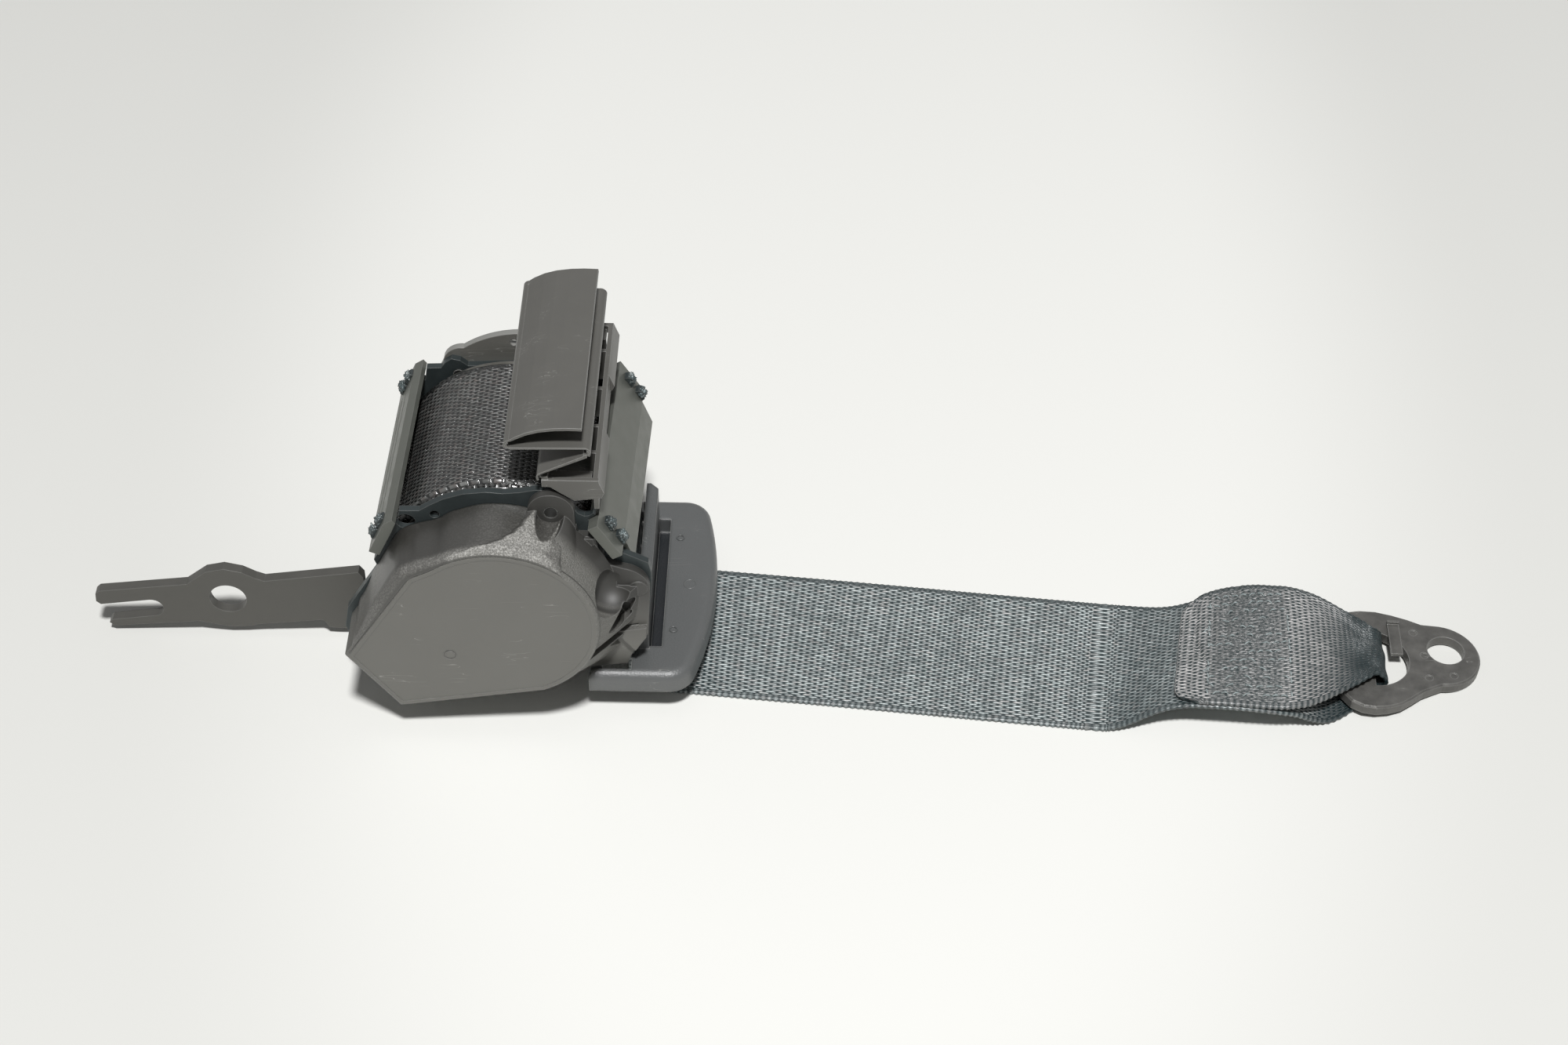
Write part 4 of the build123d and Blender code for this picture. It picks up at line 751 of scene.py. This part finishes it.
class BeltSurface:
    """Upper and lower surface of the free webbing, with weave, creases and the sewn lump at its end."""
    # creases across the end, as (millimetres from it, first and last share of the width, depth)
    CREASES = [(6.6, 0.18, 0.80, 0.75), (11.5, 0.45, 0.95, 0.35), (15.5, 0.50, 1.02, 0.65),
               (2.6, 0.1, 0.6, 0.2)]
    CREASE_WIDTH = 0.7                   # half width of a crease, in millimetres
    SEWN_FROM, SEWN_TO = 9.0, 31.0       # sewn stretch, in millimetres from the cut end
    CROWN = 2.0 * MM                     # how far the belt arches across where it gathers into the ring
    ARCH_BEFORE, ARCH_SHARE = 12.0, 0.35         # reach of the arch before the ring in mm, and its share
    ARCH_PLACE, ARCH_AFTER = 26.0, 13.0          # place and reach of the arch past the ring, in mm
    PLEAT = 1.3 * MM                     # how deep it is pleated just past the ring
    PLEAT_PLACE, PLEAT_REACH, PLEAT_START = 9.0, 4.5, 8.0   # where, in millimetres past the ring
    PLEATS, FIRST_PLEAT = 2.1, 0.1       # how many across the width, and where the first one lies
    # heights as shares of the weave's relief: the cord at the edges, as (least, swing), and in the sewn
    # stretch the weave that is left and the lumps
    CORD, SEWN_WEAVE, SEWN_LUMP = (0.3, 1.3), 0.4, 1.6
    LUMPS_ACROSS, LUMPS_ALONG = 1300, 1100       # per metre
    BEAD = (0.15 * MM, 0.45 * MM)        # how far the beads of the edge stand out, as (least, swing)
    CORNER = 7.0 * MM                    # rounding of the cut end's corners

    def __init__(self, webbing):
        self.webbing = webbing
        stations = belt_stations(webbing)
        self.path = BeltPath(stations)
        self.row = webbing.float_period / 4
        self.rows = round(self.path.length / self.row)
        self.length = self.rows * self.row
        ring_station = len(stations) - len(RETURN_RUN) - len(RING_TURN)
        self.turn = round(self.path.walked[ring_station] / self.row) * self.row
        self.fine = 3 * round(webbing.width / webbing.row_pitch)
        self.plain = self.fine // 9
        self.frames = {}

    def frame(self, along):
        """Edges and outward direction at a length along the belt; near places share one frame."""
        key = round(along / self.row * 8)
        if key not in self.frames:
            self.frames[key] = self.path.frame_at(min(along, self.path.length))
        return self.frames[key]

    def fold(self, share, along):
        """Arch, pleats at the ring and creases near the end: a lift of the whole belt."""
        from_ring = (along - self.turn) / MM
        if from_ring > 0:
            arch = math.exp(-((from_ring - self.ARCH_PLACE) / self.ARCH_AFTER) ** 2)
            pleat = math.exp(-((from_ring - self.PLEAT_PLACE) / self.PLEAT_REACH) ** 2)
            pleat *= min(1.0, from_ring / self.PLEAT_START)
        else:
            arch, pleat = self.ARCH_SHARE * math.exp(-(from_ring / self.ARCH_BEFORE) ** 2), 0.0
        lift = self.CROWN * arch * (1 - (2 * share - 1) ** 2)
        lift += self.PLEAT * pleat * math.cos(2 * math.pi * (self.PLEATS * share - self.FIRST_PLEAT))
        from_end = (self.length - along) / MM
        for place, low, high, depth in self.CREASES:
            if low < share < high:
                fade = math.sin(math.pi * (share - low) / (high - low)) ** 0.5
                off = (from_end - place - 2 * math.sin(7 * share)) / self.CREASE_WIDTH
                lift -= depth * MM * fade * math.exp(-off ** 2)
        return lift

    def sewn(self, share, along):
        """True in the sewn stretch."""
        return self.SEWN_FROM < (self.length - along) / MM < self.SEWN_TO and 0.05 < share < 0.95

    def height(self, across, along):
        """Relief of the surface, as a share of the weave's: cord at the edges, weave, lumps where sewn."""
        if min(across, self.webbing.width - across) < SELVEDGE_WIDTH:
            return ridges(along, *self.CORD)
        woven = weave_height(across, along, self.webbing)
        if self.sewn(across / self.webbing.width, along):
            lump = noise.noise(Vector((self.LUMPS_ACROSS * across, self.LUMPS_ALONG * along, 3.7)))
            return self.SEWN_WEAVE * woven + self.SEWN_LUMP * lump
        return woven

    def point(self, across, along, side):
        """Point of the surface; side is 1 for the face that lies up on the table, -1 for the other."""
        webbing = self.webbing
        stretch = self.length - self.CORNER - 2 * MM
        inset = min(across, webbing.width - across)
        if along > stretch and inset < self.CORNER:
            corner = self.CORNER - math.sqrt(self.CORNER ** 2 - (self.CORNER - inset) ** 2)
            along -= corner * (along - stretch) / (self.length - stretch)
        near, far, out = self.frame(along)
        share = across / webbing.width
        lift = side * (webbing.thickness / 2 - webbing.relief)
        # the strips join where the belt ends and where it turns, so it is smooth there
        if min(along, self.length - along, abs(along - self.turn)) > self.row / 2:
            lift += side * webbing.relief * self.height(across, along)
        return near.lerp(far, share) + out * (lift - self.fold(share, along))

    def strip(self, mesh_data, columns, first, last, side):
        """One face of the belt; its first and last row take the coarse columns, so all strips join up."""
        coarse = self.webbing.width / self.plain

        def place(across, along):
            if min(along - first, last - along) < self.row / 2:
                across = round(across / coarse) * coarse
            return self.point(across, along, side)

        mapped_grid(mesh_data, columns, round((last - first) / self.row), (self.webbing.width, last - first),
                    place, (0.0, first))

    def selvedge(self, mesh_data, edge):
        """Corded edge: a rounded rim with a bead at every second row."""
        across = self.webbing.width if edge else 0.0

        def place(turn, along):
            near, far, _ = self.frame(along)
            upper, lower = self.point(across, along, 1), self.point(across, along, -1)
            share = turn / self.webbing.thickness
            outward = (far - near).normalized() * (1 if edge else -1)
            return upper.lerp(lower, share) + outward * ridges(along, *self.BEAD) * math.sin(math.pi * share)

        mapped_grid(mesh_data, 4, self.rows, (self.webbing.thickness, self.length), place)

    def cut_end(self, mesh_data, along):
        """Heat-cut end, as dark as the belt at the ring, whose place on the weave map it takes."""
        width, thickness = self.webbing.width, self.webbing.thickness

        def place(across, place_on_map):
            share = (place_on_map - self.turn) / thickness
            return self.point(across, along, 1).lerp(self.point(across, along, -1), share)

        mapped_grid(mesh_data, self.plain, 4, (width, thickness), place, (0.0, self.turn))


class BELT_OT_webbing(bpy.types.Operator):
    """Free webbing from the roll to the ring and back, as one woven band"""
    bl_idname = "belt.webbing"
    bl_label = "Free webbing"

    def execute(self, context):
        webbing = context.scene.belt_webbing
        surface = BeltSurface(webbing)
        mesh_data = bmesh.new()
        surface.strip(mesh_data, surface.fine, 0.0, surface.turn, 1)
        surface.strip(mesh_data, surface.plain, surface.turn, surface.length, 1)
        surface.strip(mesh_data, surface.plain, 0.0, surface.turn, -1)
        surface.strip(mesh_data, surface.fine, surface.turn, surface.length, -1)
        for edge in (0, 1):
            surface.selvedge(mesh_data, edge)
        surface.cut_end(mesh_data, 0.0)
        surface.cut_end(mesh_data, surface.length)
        close_up(mesh_data, 2e-6)
        sewn = (surface.length - (surface.SEWN_FROM + surface.SEWN_TO) / 2 * MM,
                (surface.SEWN_TO - surface.SEWN_FROM) / 2 * MM + 2 * MM)
        end_below = 2 * surface.turn + 7 * MM - surface.length       # where the cut end lies on the belt below
        # painted shade where the belt gathers into the ring and under the cut end; darker before the loop; the
        # sewn stretch darker
        stains_and_shade = [(surface.turn, 26 * MM, 0.9), (end_below - 4 * MM, 22 * MM, 0.42),
                  (end_below, 2.5 * MM, 0.5), (*sewn, 0.25)]
        material = woven_polyester("polyester_webbing", webbing.thread_light, webbing.thread_dark, webbing,
                                   stains_and_shade, sewn)
        piece = add_piece("webbing_band", mesh_data, material, "retractor", ["free_webbing"])
        return {"FINISHED"}


class BELT_OT_stitching(bpy.types.Operator):
    """Lock stitching of the loop: short thread stitches in rows, sunk into the weave at both ends"""
    bl_idname = "belt.stitching"
    bl_label = "Lock stitching"
    ROWS, MARGIN = 13, 0.08                 # rows along the belt, and the share of the width outside them
    PITCH, STITCH, THREAD = 2.5 * MM, 2.0 * MM, 0.26 * MM
    SKIPPED, SLANT, UNEVEN = 0.45, 0.7 * MM, 0.1        # how worn and how irregular the rows are
    END_MARGIN, END_KEPT, END_SLANT = 0.07, 0.6, 0.3 * MM       # the rows across both ends

    def execute(self, context):
        webbing = context.scene.belt_webbing
        surface = BeltSurface(webbing)
        draw = random.Random(11)
        mesh_data = bmesh.new()
        first = surface.length - surface.SEWN_TO * MM
        last = surface.length - surface.SEWN_FROM * MM

        def stitch(start, end):
            add_stitch(mesh_data, surface, start, end, self.THREAD)

        for row in range(self.ROWS):
            across = (self.MARGIN + (1 - 2 * self.MARGIN) * row / (self.ROWS - 1)) * webbing.width
            along = first + draw.uniform(0, self.PITCH)
            while along < last:
                slant = draw.uniform(-self.SLANT, self.SLANT)
                if draw.random() < self.SKIPPED:
                    along += self.PITCH
                    continue
                stitch((across - slant, along), (across + slant, along + self.STITCH))
                along += self.PITCH * draw.uniform(1 - self.UNEVEN, 1 + self.UNEVEN)
        for along in (first, last):
            across = self.END_MARGIN * webbing.width
            while across < (1 - self.END_MARGIN) * webbing.width:
                if draw.random() < self.END_KEPT:
                    stitch((across, along), (across + self.STITCH, along + self.END_SLANT))
                across += self.PITCH
        bmesh.ops.recalc_face_normals(mesh_data, faces=mesh_data.faces)
        material = sewing_thread("polyester_sewing_thread", webbing.thread_light, webbing.thread_dark)
        add_piece("thread_stitches", mesh_data, material, "retractor", ["lock_stitching"])
        return {"FINISHED"}


class BELT_OT_bezel_marks(bpy.types.Operator):
    """Rings and disc that the ejector pins left on the bezel's plate"""
    bl_idname = "belt.bezel_marks"
    bl_label = "Bezel marks"
    PLATE_TOP, SUNK, CHAMFER = 15.5, 0.08, 0.1
    # middle in X and Y, outer and inner radius, and height, in millimetres
    MARKS = [(45.07, 17.99, 1.25, 0.75, 0.30), (44.92, -18.49, 1.25, 0.75, 0.30),
             (48.66, -0.58, 1.9, 1.45, 0.12)]

    def execute(self, context):
        plastic = context.scene.belt_plastic
        mesh_data = bmesh.new()
        for x, y, outer, inner, height in self.MARKS:
            low, high = self.PLATE_TOP - self.SUNK, self.PLATE_TOP + height
            section = [(outer, low), (outer - self.CHAMFER, high), (inner + self.CHAMFER, high), (inner, low)]
            profile = [mesh_data.verts.new(Vector((x + radius, y, z)) * MM) for radius, z in section]
            edges = [mesh_data.edges.new(pair) for pair in zip(profile, profile[1:] + profile[:1])]
            bmesh.ops.spin(mesh_data, geom=profile + edges, cent=Vector((x, y, 0)) * MM, axis=(0, 0, 1),
                           angle=2 * math.pi, steps=32, use_merge=True)
        close_up(mesh_data, 1e-6)
        material = smooth_polypropylene("satin_polypropylene_marks", plastic.bezel, 0.3, 0.4, 0.1 * MM)
        add_piece("bezel_marks", mesh_data, material, "retractor")
        return {"FINISHED"}


class BELT_OT_staked_tabs(bpy.types.Operator):
    """Ends of the side plates' tabs, spread and torn where they were staked over the tie plates"""
    bl_idname = "belt.staked_tabs"
    bl_label = "Staked tabs"
    # outer ends of the tabs in the front and rear side plates, in millimetres
    PLACES = [(30.0, -27.5, 65.5), (32.9, -27.5, 60.7), (31.8, 30.0, 65.5), (34.7, 30.0, 60.7),
              (-33.6, -27.5, 61.1), (-31.7, -27.5, 65.1), (-32.3, 30.0, 61.1), (-30.4, 30.0, 65.1)]
    SIZES = [(1.2, 1.5), (1.2, 1.6), (1.5, 1.9)]     # smallest and largest half size in X, Y and Z
    TORN = 0.42                                      # how ragged a tab is, as a share of its size

    def execute(self, context):
        steel = context.scene.belt_steel
        mesh_data = bmesh.new()
        draw = random.Random(5)
        for place in map(Vector, self.PLACES):
            lump = bmesh.ops.create_icosphere(mesh_data, subdivisions=4, radius=1.0)["verts"]
            size = Vector([draw.uniform(*limits) for limits in self.SIZES]) * MM
            for point in lump:
                torn = noise.fractal(point.co * 2.4 + place, 0.6, 2.0, 5)
                point.co = place * MM + point.co * size * (1.0 + self.TORN * torn)
        material = coated_steel("torn_plate_steel", steel.torn, 0.2, 0.35, 0.9, 0.35)
        add_piece("staked_tabs", mesh_data, material, "retractor")
        return {"FINISHED"}


def between(table, place):
    """Smooth value from rows of (place, value)."""
    if place <= table[0][0]:
        return table[0][1]
    for (low, first), (high, second) in zip(table, table[1:]):
        if place <= high:
            share = (place - low) / (high - low)
            return first + (second - first) * share * share * (3 - 2 * share)
    return table[-1][1]


class CoverSkirt:
    """Drawn skirt of the spring cover, from the rim of its face back to the side plate.

    Places round the face are angles in degrees from +X towards +Z, seen from the camera side; lengths are in
    millimetres. The horn is the ramp up to the screw boss, and the well is the round recess over the screw.
    """
    CENTRE, RADIUS = (0.0, 42.6), 27.3
    CORNERS = [(-16.81, 64.11), (-23.0, 60.8), (-42.3, 30.1)]
    ROUND_TO = 128.0                # the face is round up to this angle, and has straight sides past it
    SMOOTHING = (-3, -1.5, 0, 1.5, 3)       # angles over which its corners are softened
    FACE_Y, PLATE_Y, PROUD = -45.0, -28.6, 0.03     # it starts a little in front of the face
    START, END = 46.0, 195.0
    ROUNDING = 0.35                 # share of the way back that the rounding behind the rim takes
    INSET = 0.5                     # how far inside the face's outline the skirt starts
    DEEP, DEEP_SHARE, LEAST_BULGE = 1.2, 0.9, 0.3       # depth of the rounding, which grows with the bulge
    # how far the skirt stands outside the face's outline behind its rounding, and how much more at the plate
    BULGE = [(46, -0.5), (52, 0.6), (62, 1.4), (100, 1.4), (120, 1.6), (134, 2.8), (146, 3.2), (170, 2.6),
             (188, 1.0), (195, -0.5)]
    DRAFT = [(46, 0.0), (56, 1.6), (95, 1.7), (112, 1.0), (124, 0.2), (140, 0.8), (195, 0.2)]
    # the horn: its left edge, as (Y, angle), and over how many degrees past that it fades in; how far it
    # stands out at each Y; and at which angles its right end fades in, in shape and in grain
    HORN_LEFT = [(-44.6, 118), (-43.4, 104), (-42.2, 93), (-40.5, 86.5), (-38.0, 81.5), (-35.0, 78.0),
                 (-31.0, 75.0), (-28.6, 74.5)]
    HORN_BLEND = [(0, 0), (4.0, 1)]
    HORN_LIFT = [(-44.8, 0.0), (-42.5, 0.5), (-38.0, 1.3), (-31.0, 2.0)]
    HORN_RIGHT, HORN_RIGHT_GRAIN = [(50, 0), (54, 1)], [(50, 0.4), (55, 1)]
    BOSS, WELL_RADIUS, WELL_DRAFT = (14.5, 72.1), 3.9, 0.12
    # where the mould was eroded, which is also where a highlight is painted: a band behind the rim, and part of
    # the left flank
    BAND_DEPTH = [(-43.6, 1.0), (-41.8, 0.12)]
    BAND_ROUND = [(90, 1.0), (106, 0.45), (130, 0.3), (150, 0.45)]
    LEFT_FLANK = [(150, 0.0), (172, 0.6)]
    WELL_GRAIN = 0.35

    def outline(self, angle):
        """Distance from the centre to the face's outline."""
        if angle <= self.ROUND_TO:
            return self.RADIUS
        turn = math.radians(angle)
        way = (math.cos(turn), math.sin(turn))
        reach = []
        for (x0, z0), (x1, z1) in zip(self.CORNERS, self.CORNERS[1:]):
            dx, dz = x1 - x0, z1 - z0
            side = way[0] * dz - way[1] * dx
            reach.append(((x0 - self.CENTRE[0]) * dz - (z0 - self.CENTRE[1]) * dx) / side)
        return min(r for r in reach if r > 0)

    def section(self, angle, back):
        """How far out of the outline, and Y, at a share of the way back: a rounding, then the drawn wall."""
        bulge, draft = between(self.BULGE, angle), between(self.DRAFT, angle)
        start = self.FACE_Y - self.PROUD
        deep = self.DEEP + self.DEEP_SHARE * max(bulge, self.LEAST_BULGE)
        if back < self.ROUNDING:
            turn = math.pi / 2 * back / self.ROUNDING
            return (self.INSET + bulge) * math.sin(turn) - self.INSET, start + deep * (1 - math.cos(turn))
        share = (back - self.ROUNDING) / (1 - self.ROUNDING)
        return bulge + draft * share, start + deep + share * (self.PLATE_Y - self.FACE_Y - deep)

    def place(self, angle, back):
        """Point at an angle and a share of the way back; also its share of grain and painted highlight."""
        rim = self.RADIUS
        if angle > self.ROUND_TO + self.SMOOTHING[0]:
            rim = sum(self.outline(angle + turn) for turn in self.SMOOTHING) / len(self.SMOOTHING)
        out, y = self.section(angle, back)
        horn = between(self.HORN_BLEND, between(self.HORN_LEFT, y) - angle)
        radius = rim + out + between(self.HORN_LIFT, y) * horn * between(self.HORN_RIGHT, angle)
        turn = math.radians(angle)
        x, z = self.CENTRE[0] + radius * math.cos(turn), self.CENTRE[1] + radius * math.sin(turn)
        grain = max(between(self.BAND_DEPTH, y) * between(self.BAND_ROUND, angle),
                    between(self.LEFT_FLANK, angle), horn * between(self.HORN_RIGHT_GRAIN, angle))
        from_boss = abs(x - self.BOSS[0])
        if from_boss < self.WELL_RADIUS:
            well = self.BOSS[1] - math.sqrt(self.WELL_RADIUS ** 2 - from_boss ** 2)
            well += self.WELL_DRAFT * (self.PLATE_Y - y)
            if z > well:
                z, grain = well, grain * self.WELL_GRAIN
        return Vector((x, y, z)) * MM, grain


class BELT_OT_plastics(bpy.types.Operator):
    """Moulded covers, web guide, bezel and small plastic parts"""
    bl_idname = "belt.plastics"
    bl_label = "Moulded plastic"
    BEZEL_SLOT = (40.3, 1.8, 25.2, 15.2)    # middle in X, half width, half length and top in Z, in millimetres

    def execute(self, context):
        plastic = context.scene.belt_plastic
        cover = grained_nylon("grained_nylon", plastic.cover, plastic.cover_wall, plastic.grain, 0.15,
                              polished_from=-35 * MM)
        rear_cover = grained_nylon("grained_nylon_rear", plastic.cover, plastic.rear_wall, plastic.grain, 0.3)
        guide = smooth_polypropylene("polished_polypropylene", plastic.guide, 0.34, 0.5, 0.35 * MM)
        # the slot's painted shade
        slot = (*[size * MM for size in self.BEZEL_SLOT], plastic.slot)
        bezel = smooth_polypropylene("satin_polypropylene", plastic.bezel, 0.34, 0.46, 1.3 * MM,
                                     0.5 * MM, slot)
        acetal = smooth_polypropylene("moulded_acetal", plastic.acetal, 0.4, 0.5, 0.3 * MM)
        dress(["spring_cover"], cover)
        dress(["rear_cover"], rear_cover)
        dress(["web_guide_box", "guide_lower_leaf", "guide_middle_leaf", "guide_flap"], guide)
        dress(["bezel"], bezel)
        dress(["spring_cassette", "spring_arbor", "front_bush", "rear_bush", "sensor_housing", "sensor_lever",
               "cover_screw", "cover_pin_right", "cover_pin_left",
               "rear_cover_pin_left", "rear_cover_pin_right", "rear_cover_pin_top"], acetal)
        return {"FINISHED"}


class BELT_OT_skirt(bpy.types.Operator):
    """Drawn skirt and screw ramps of the spring cover"""
    bl_idname = "belt.skirt"
    bl_label = "Cover skirt"
    COLUMNS, ROWS = 300, 48
    WALL = 0.6 * MM
    # way between the lamp and the camera, where the grain's painted highlight peaks, and how it fades off that
    PAINTED_HIGHLIGHT_WAY = Vector((0.0, -0.56, 0.83))
    PAINTED_HIGHLIGHT_FADE = [(0.70, 0.40), (0.97, 1.0)]

    def execute(self, context):
        plastic = context.scene.belt_plastic
        skirt = CoverSkirt()
        mesh_data = bmesh.new()
        grain_and_highlight_layer = mesh_data.verts.layers.float.new("finish")
        made = bmesh.ops.create_grid(mesh_data, x_segments=self.COLUMNS, y_segments=self.ROWS, size=0.5)
        for point in made["verts"]:
            angle = skirt.START + (point.co.x + 0.5) * (skirt.END - skirt.START)
            point.co, point[grain_and_highlight_layer] = skirt.place(angle, point.co.y + 0.5)
        bmesh.ops.recalc_face_normals(mesh_data, faces=mesh_data.faces)
        middle = Vector((skirt.CENTRE[0], 0.0, skirt.CENTRE[1])) * MM
        first = next(iter(mesh_data.faces))
        if first.normal.dot(first.calc_center_median() - middle) < 0:
            bmesh.ops.reverse_faces(mesh_data, faces=mesh_data.faces)
        # painted highlight: grain and glints fade as the skirt faces away from that way
        for point in mesh_data.verts:
            point[grain_and_highlight_layer] *= between(self.PAINTED_HIGHLIGHT_FADE, point.normal.dot(self.PAINTED_HIGHLIGHT_WAY))
        material = grained_nylon("grained_nylon_skirt", plastic.cover, plastic.cover_wall, plastic.grain, 0.95,
                                 grain_and_highlight_attribute="finish")
        piece = add_piece("cover_skirt", mesh_data, material, "retractor")
        wall = piece.modifiers.new("wall", "SOLIDIFY")
        wall.thickness = self.WALL
        wall.offset = -1.0
        return {"FINISHED"}


class BELT_OT_steels(bpy.types.Operator):
    """Pressed plates, strap, end fitting and the machined inner parts"""
    bl_idname = "belt.steels"
    bl_label = "Steel parts"

    def execute(self, context):
        steel = context.scene.belt_steel
        dress(["front_side_plate", "rear_side_plate", "base_tie_plate"],
              coated_steel("black_passivated_steel", steel.plate, 0.3, 0.5))
        dress(["left_tie_plate", "right_tie_plate"], coated_steel("grey_coated_steel", steel.tie, 0.36, 0.52))
        dress(["mounting_strap"], coated_steel("dark_coated_strap_steel", steel.strap, 0.4, 0.55))
        dress(["end_fitting"], coated_steel("coated_fitting_steel", steel.fitting, 0.30, 0.48, 0.8, 0.25))
        dress(["ring_keeper"], coated_steel("worn_keeper_steel", steel.fitting, 0.2, 0.32, 0.4, 0.3))
        dress(["strap_rivet_outer", "strap_rivet_inner", "spool", "spool_shaft", "ratchet_wheel", "lock_pawl",
               "pawl_pin", "sensor_ball", "lever_pin"],
              turned_steel("machined_steel", steel.bright, 0.28, 0.42))
        dress(["power_spring"], turned_steel("blued_spring_steel", steel.spring, 0.25, 0.35))
        return {"FINISHED"}


class BELT_OT_stage(bpy.types.Operator):
    """White table, soft lamps and the camera"""
    bl_idname = "belt.stage"
    bl_label = "Stage"
    TABLE_HALF = 3.0                # half its side, in metres
    BACKGROUND = 0.8                # strength of the room where the camera sees it
    CEILING = (0.15, 0.95)          # from the sine of which height to which reflections grow brighter
    CEILING_GAIN = 1.5

    def execute(self, context):
        stage = context.scene.belt_stage
        self.table(stage)
        self.world(stage, context.scene)
        self.lamp(stage, context.scene)
        self.camera(context.scene)
        context.scene.view_settings.view_transform = "Standard"
        return {"FINISHED"}

    def table(self, stage):
        """Table top that reaches past the edges of the picture."""
        table_data = bmesh.new()
        bmesh.ops.create_grid(table_data, x_segments=1, y_segments=1, size=self.TABLE_HALF)
        material = white_table("matt_white_table", stage.floor, stage.floor_far_painted_falloff)
        table = mesh_object("table_top", table_data, material)

    def world(self, stage, scene):
        """White room: dim as a light, brighter in reflections and most towards its ceiling."""
        world = bpy.data.worlds.new("studio")
        scene.world = world
        world.use_nodes = True
        tree = world.node_tree
        tree.nodes.clear()
        path = add(tree, "LightPath")
        place = add(tree, "TexCoord")
        height = add(tree, "SeparateXYZ", inputs={"Vector": (place, "Generated")})
        room = add(tree, "MapRange", SMOOTH, {
            "Value": (height, "Z"), "From Min": self.CEILING[0], "From Max": self.CEILING[1],
            "To Min": stage.mirror, "To Max": self.CEILING_GAIN * stage.mirror})
        lit = add(tree, "Mix", VALUE_MIX, {0: (path, "Is Glossy Ray"), 2: stage.fill, 3: (room, "Result")})
        strength = add(tree, "Mix", VALUE_MIX, {0: (path, "Is Camera Ray"), 2: (lit, 0), 3: self.BACKGROUND})
        light = add(tree, "Background", inputs={"Color": (1, 1, 1, 1), "Strength": (strength, 0)})
        add(tree, "OutputWorld", inputs={"Surface": (light, "Background")})

    def lamp(self, stage, scene):
        """Soft round lamp above and in front."""
        lamp_data = bpy.data.lights.new("key_lamp", "AREA")
        lamp_data.shape = "DISK"
        lamp_data.size = LAMP_WIDTH
        lamp_data.energy = stage.key_power
        lamp = bpy.data.objects.new("key_lamp", lamp_data)
        scene.collection.objects.link(lamp)
        lamp.location = LAMP_TARGET + LAMP_DISTANCE * LAMP_WAY
        lamp.rotation_euler = (-LAMP_WAY).to_track_quat("-Z", "Y").to_euler()

    def camera(self, scene):
        """Camera of the photograph."""
        camera_data = bpy.data.cameras.new("photo_camera")
        camera_data.sensor_width = 36.0
        camera_data.lens = CAMERA_LENS_MM
        camera_data.clip_start = 0.01
        camera = bpy.data.objects.new("photo_camera", camera_data)
        scene.collection.objects.link(camera)
        camera.location = CAMERA_PLACE
        camera.rotation_euler = (math.radians(90 - CAMERA_DOWN_DEG), 0.0, math.radians(CAMERA_LEFT_DEG))
        scene.camera = camera


class BELT_PT_panel(bpy.types.Panel):
    """Buttons for each group of pieces"""
    bl_label = "Seat belt"
    bl_idname = "BELT_PT_panel"
    bl_space_type = "VIEW_3D"
    bl_region_type = "UI"
    bl_category = "Seat belt"

    def draw(self, context):
        for operator in OPERATORS:
            self.layout.operator(operator.bl_idname)


SETTINGS = {"belt_webbing": WebbingSettings, "belt_plastic": PlasticSettings,
            "belt_steel": SteelSettings, "belt_stage": StageSettings}
OPERATORS = [BELT_OT_stage, BELT_OT_plastics, BELT_OT_skirt, BELT_OT_bezel_marks, BELT_OT_steels,
             BELT_OT_staked_tabs, BELT_OT_roll, BELT_OT_webbing, BELT_OT_stitching]


def register():
    """Make the settings, the operators and the panel known."""
    for group in [*SETTINGS.values(), *OPERATORS, BELT_PT_panel]:
        bpy.utils.register_class(group)
    for name, group in SETTINGS.items():
        setattr(bpy.types.Scene, name, PointerProperty(type=group))


def unregister():
    """Take them away again."""
    for name in SETTINGS:
        delattr(bpy.types.Scene, name)
    for group in reversed([*SETTINGS.values(), *OPERATORS, BELT_PT_panel]):
        bpy.utils.unregister_class(group)


def main():
    """Build every piece in order."""
    register()
    bpy.ops.belt.stage()
    bpy.ops.belt.plastics()
    bpy.ops.belt.skirt()
    bpy.ops.belt.bezel_marks()
    bpy.ops.belt.steels()
    bpy.ops.belt.staked_tabs()
    bpy.ops.belt.roll()
    bpy.ops.belt.webbing()
    bpy.ops.belt.stitching()


if __name__ == "__main__":
    main()
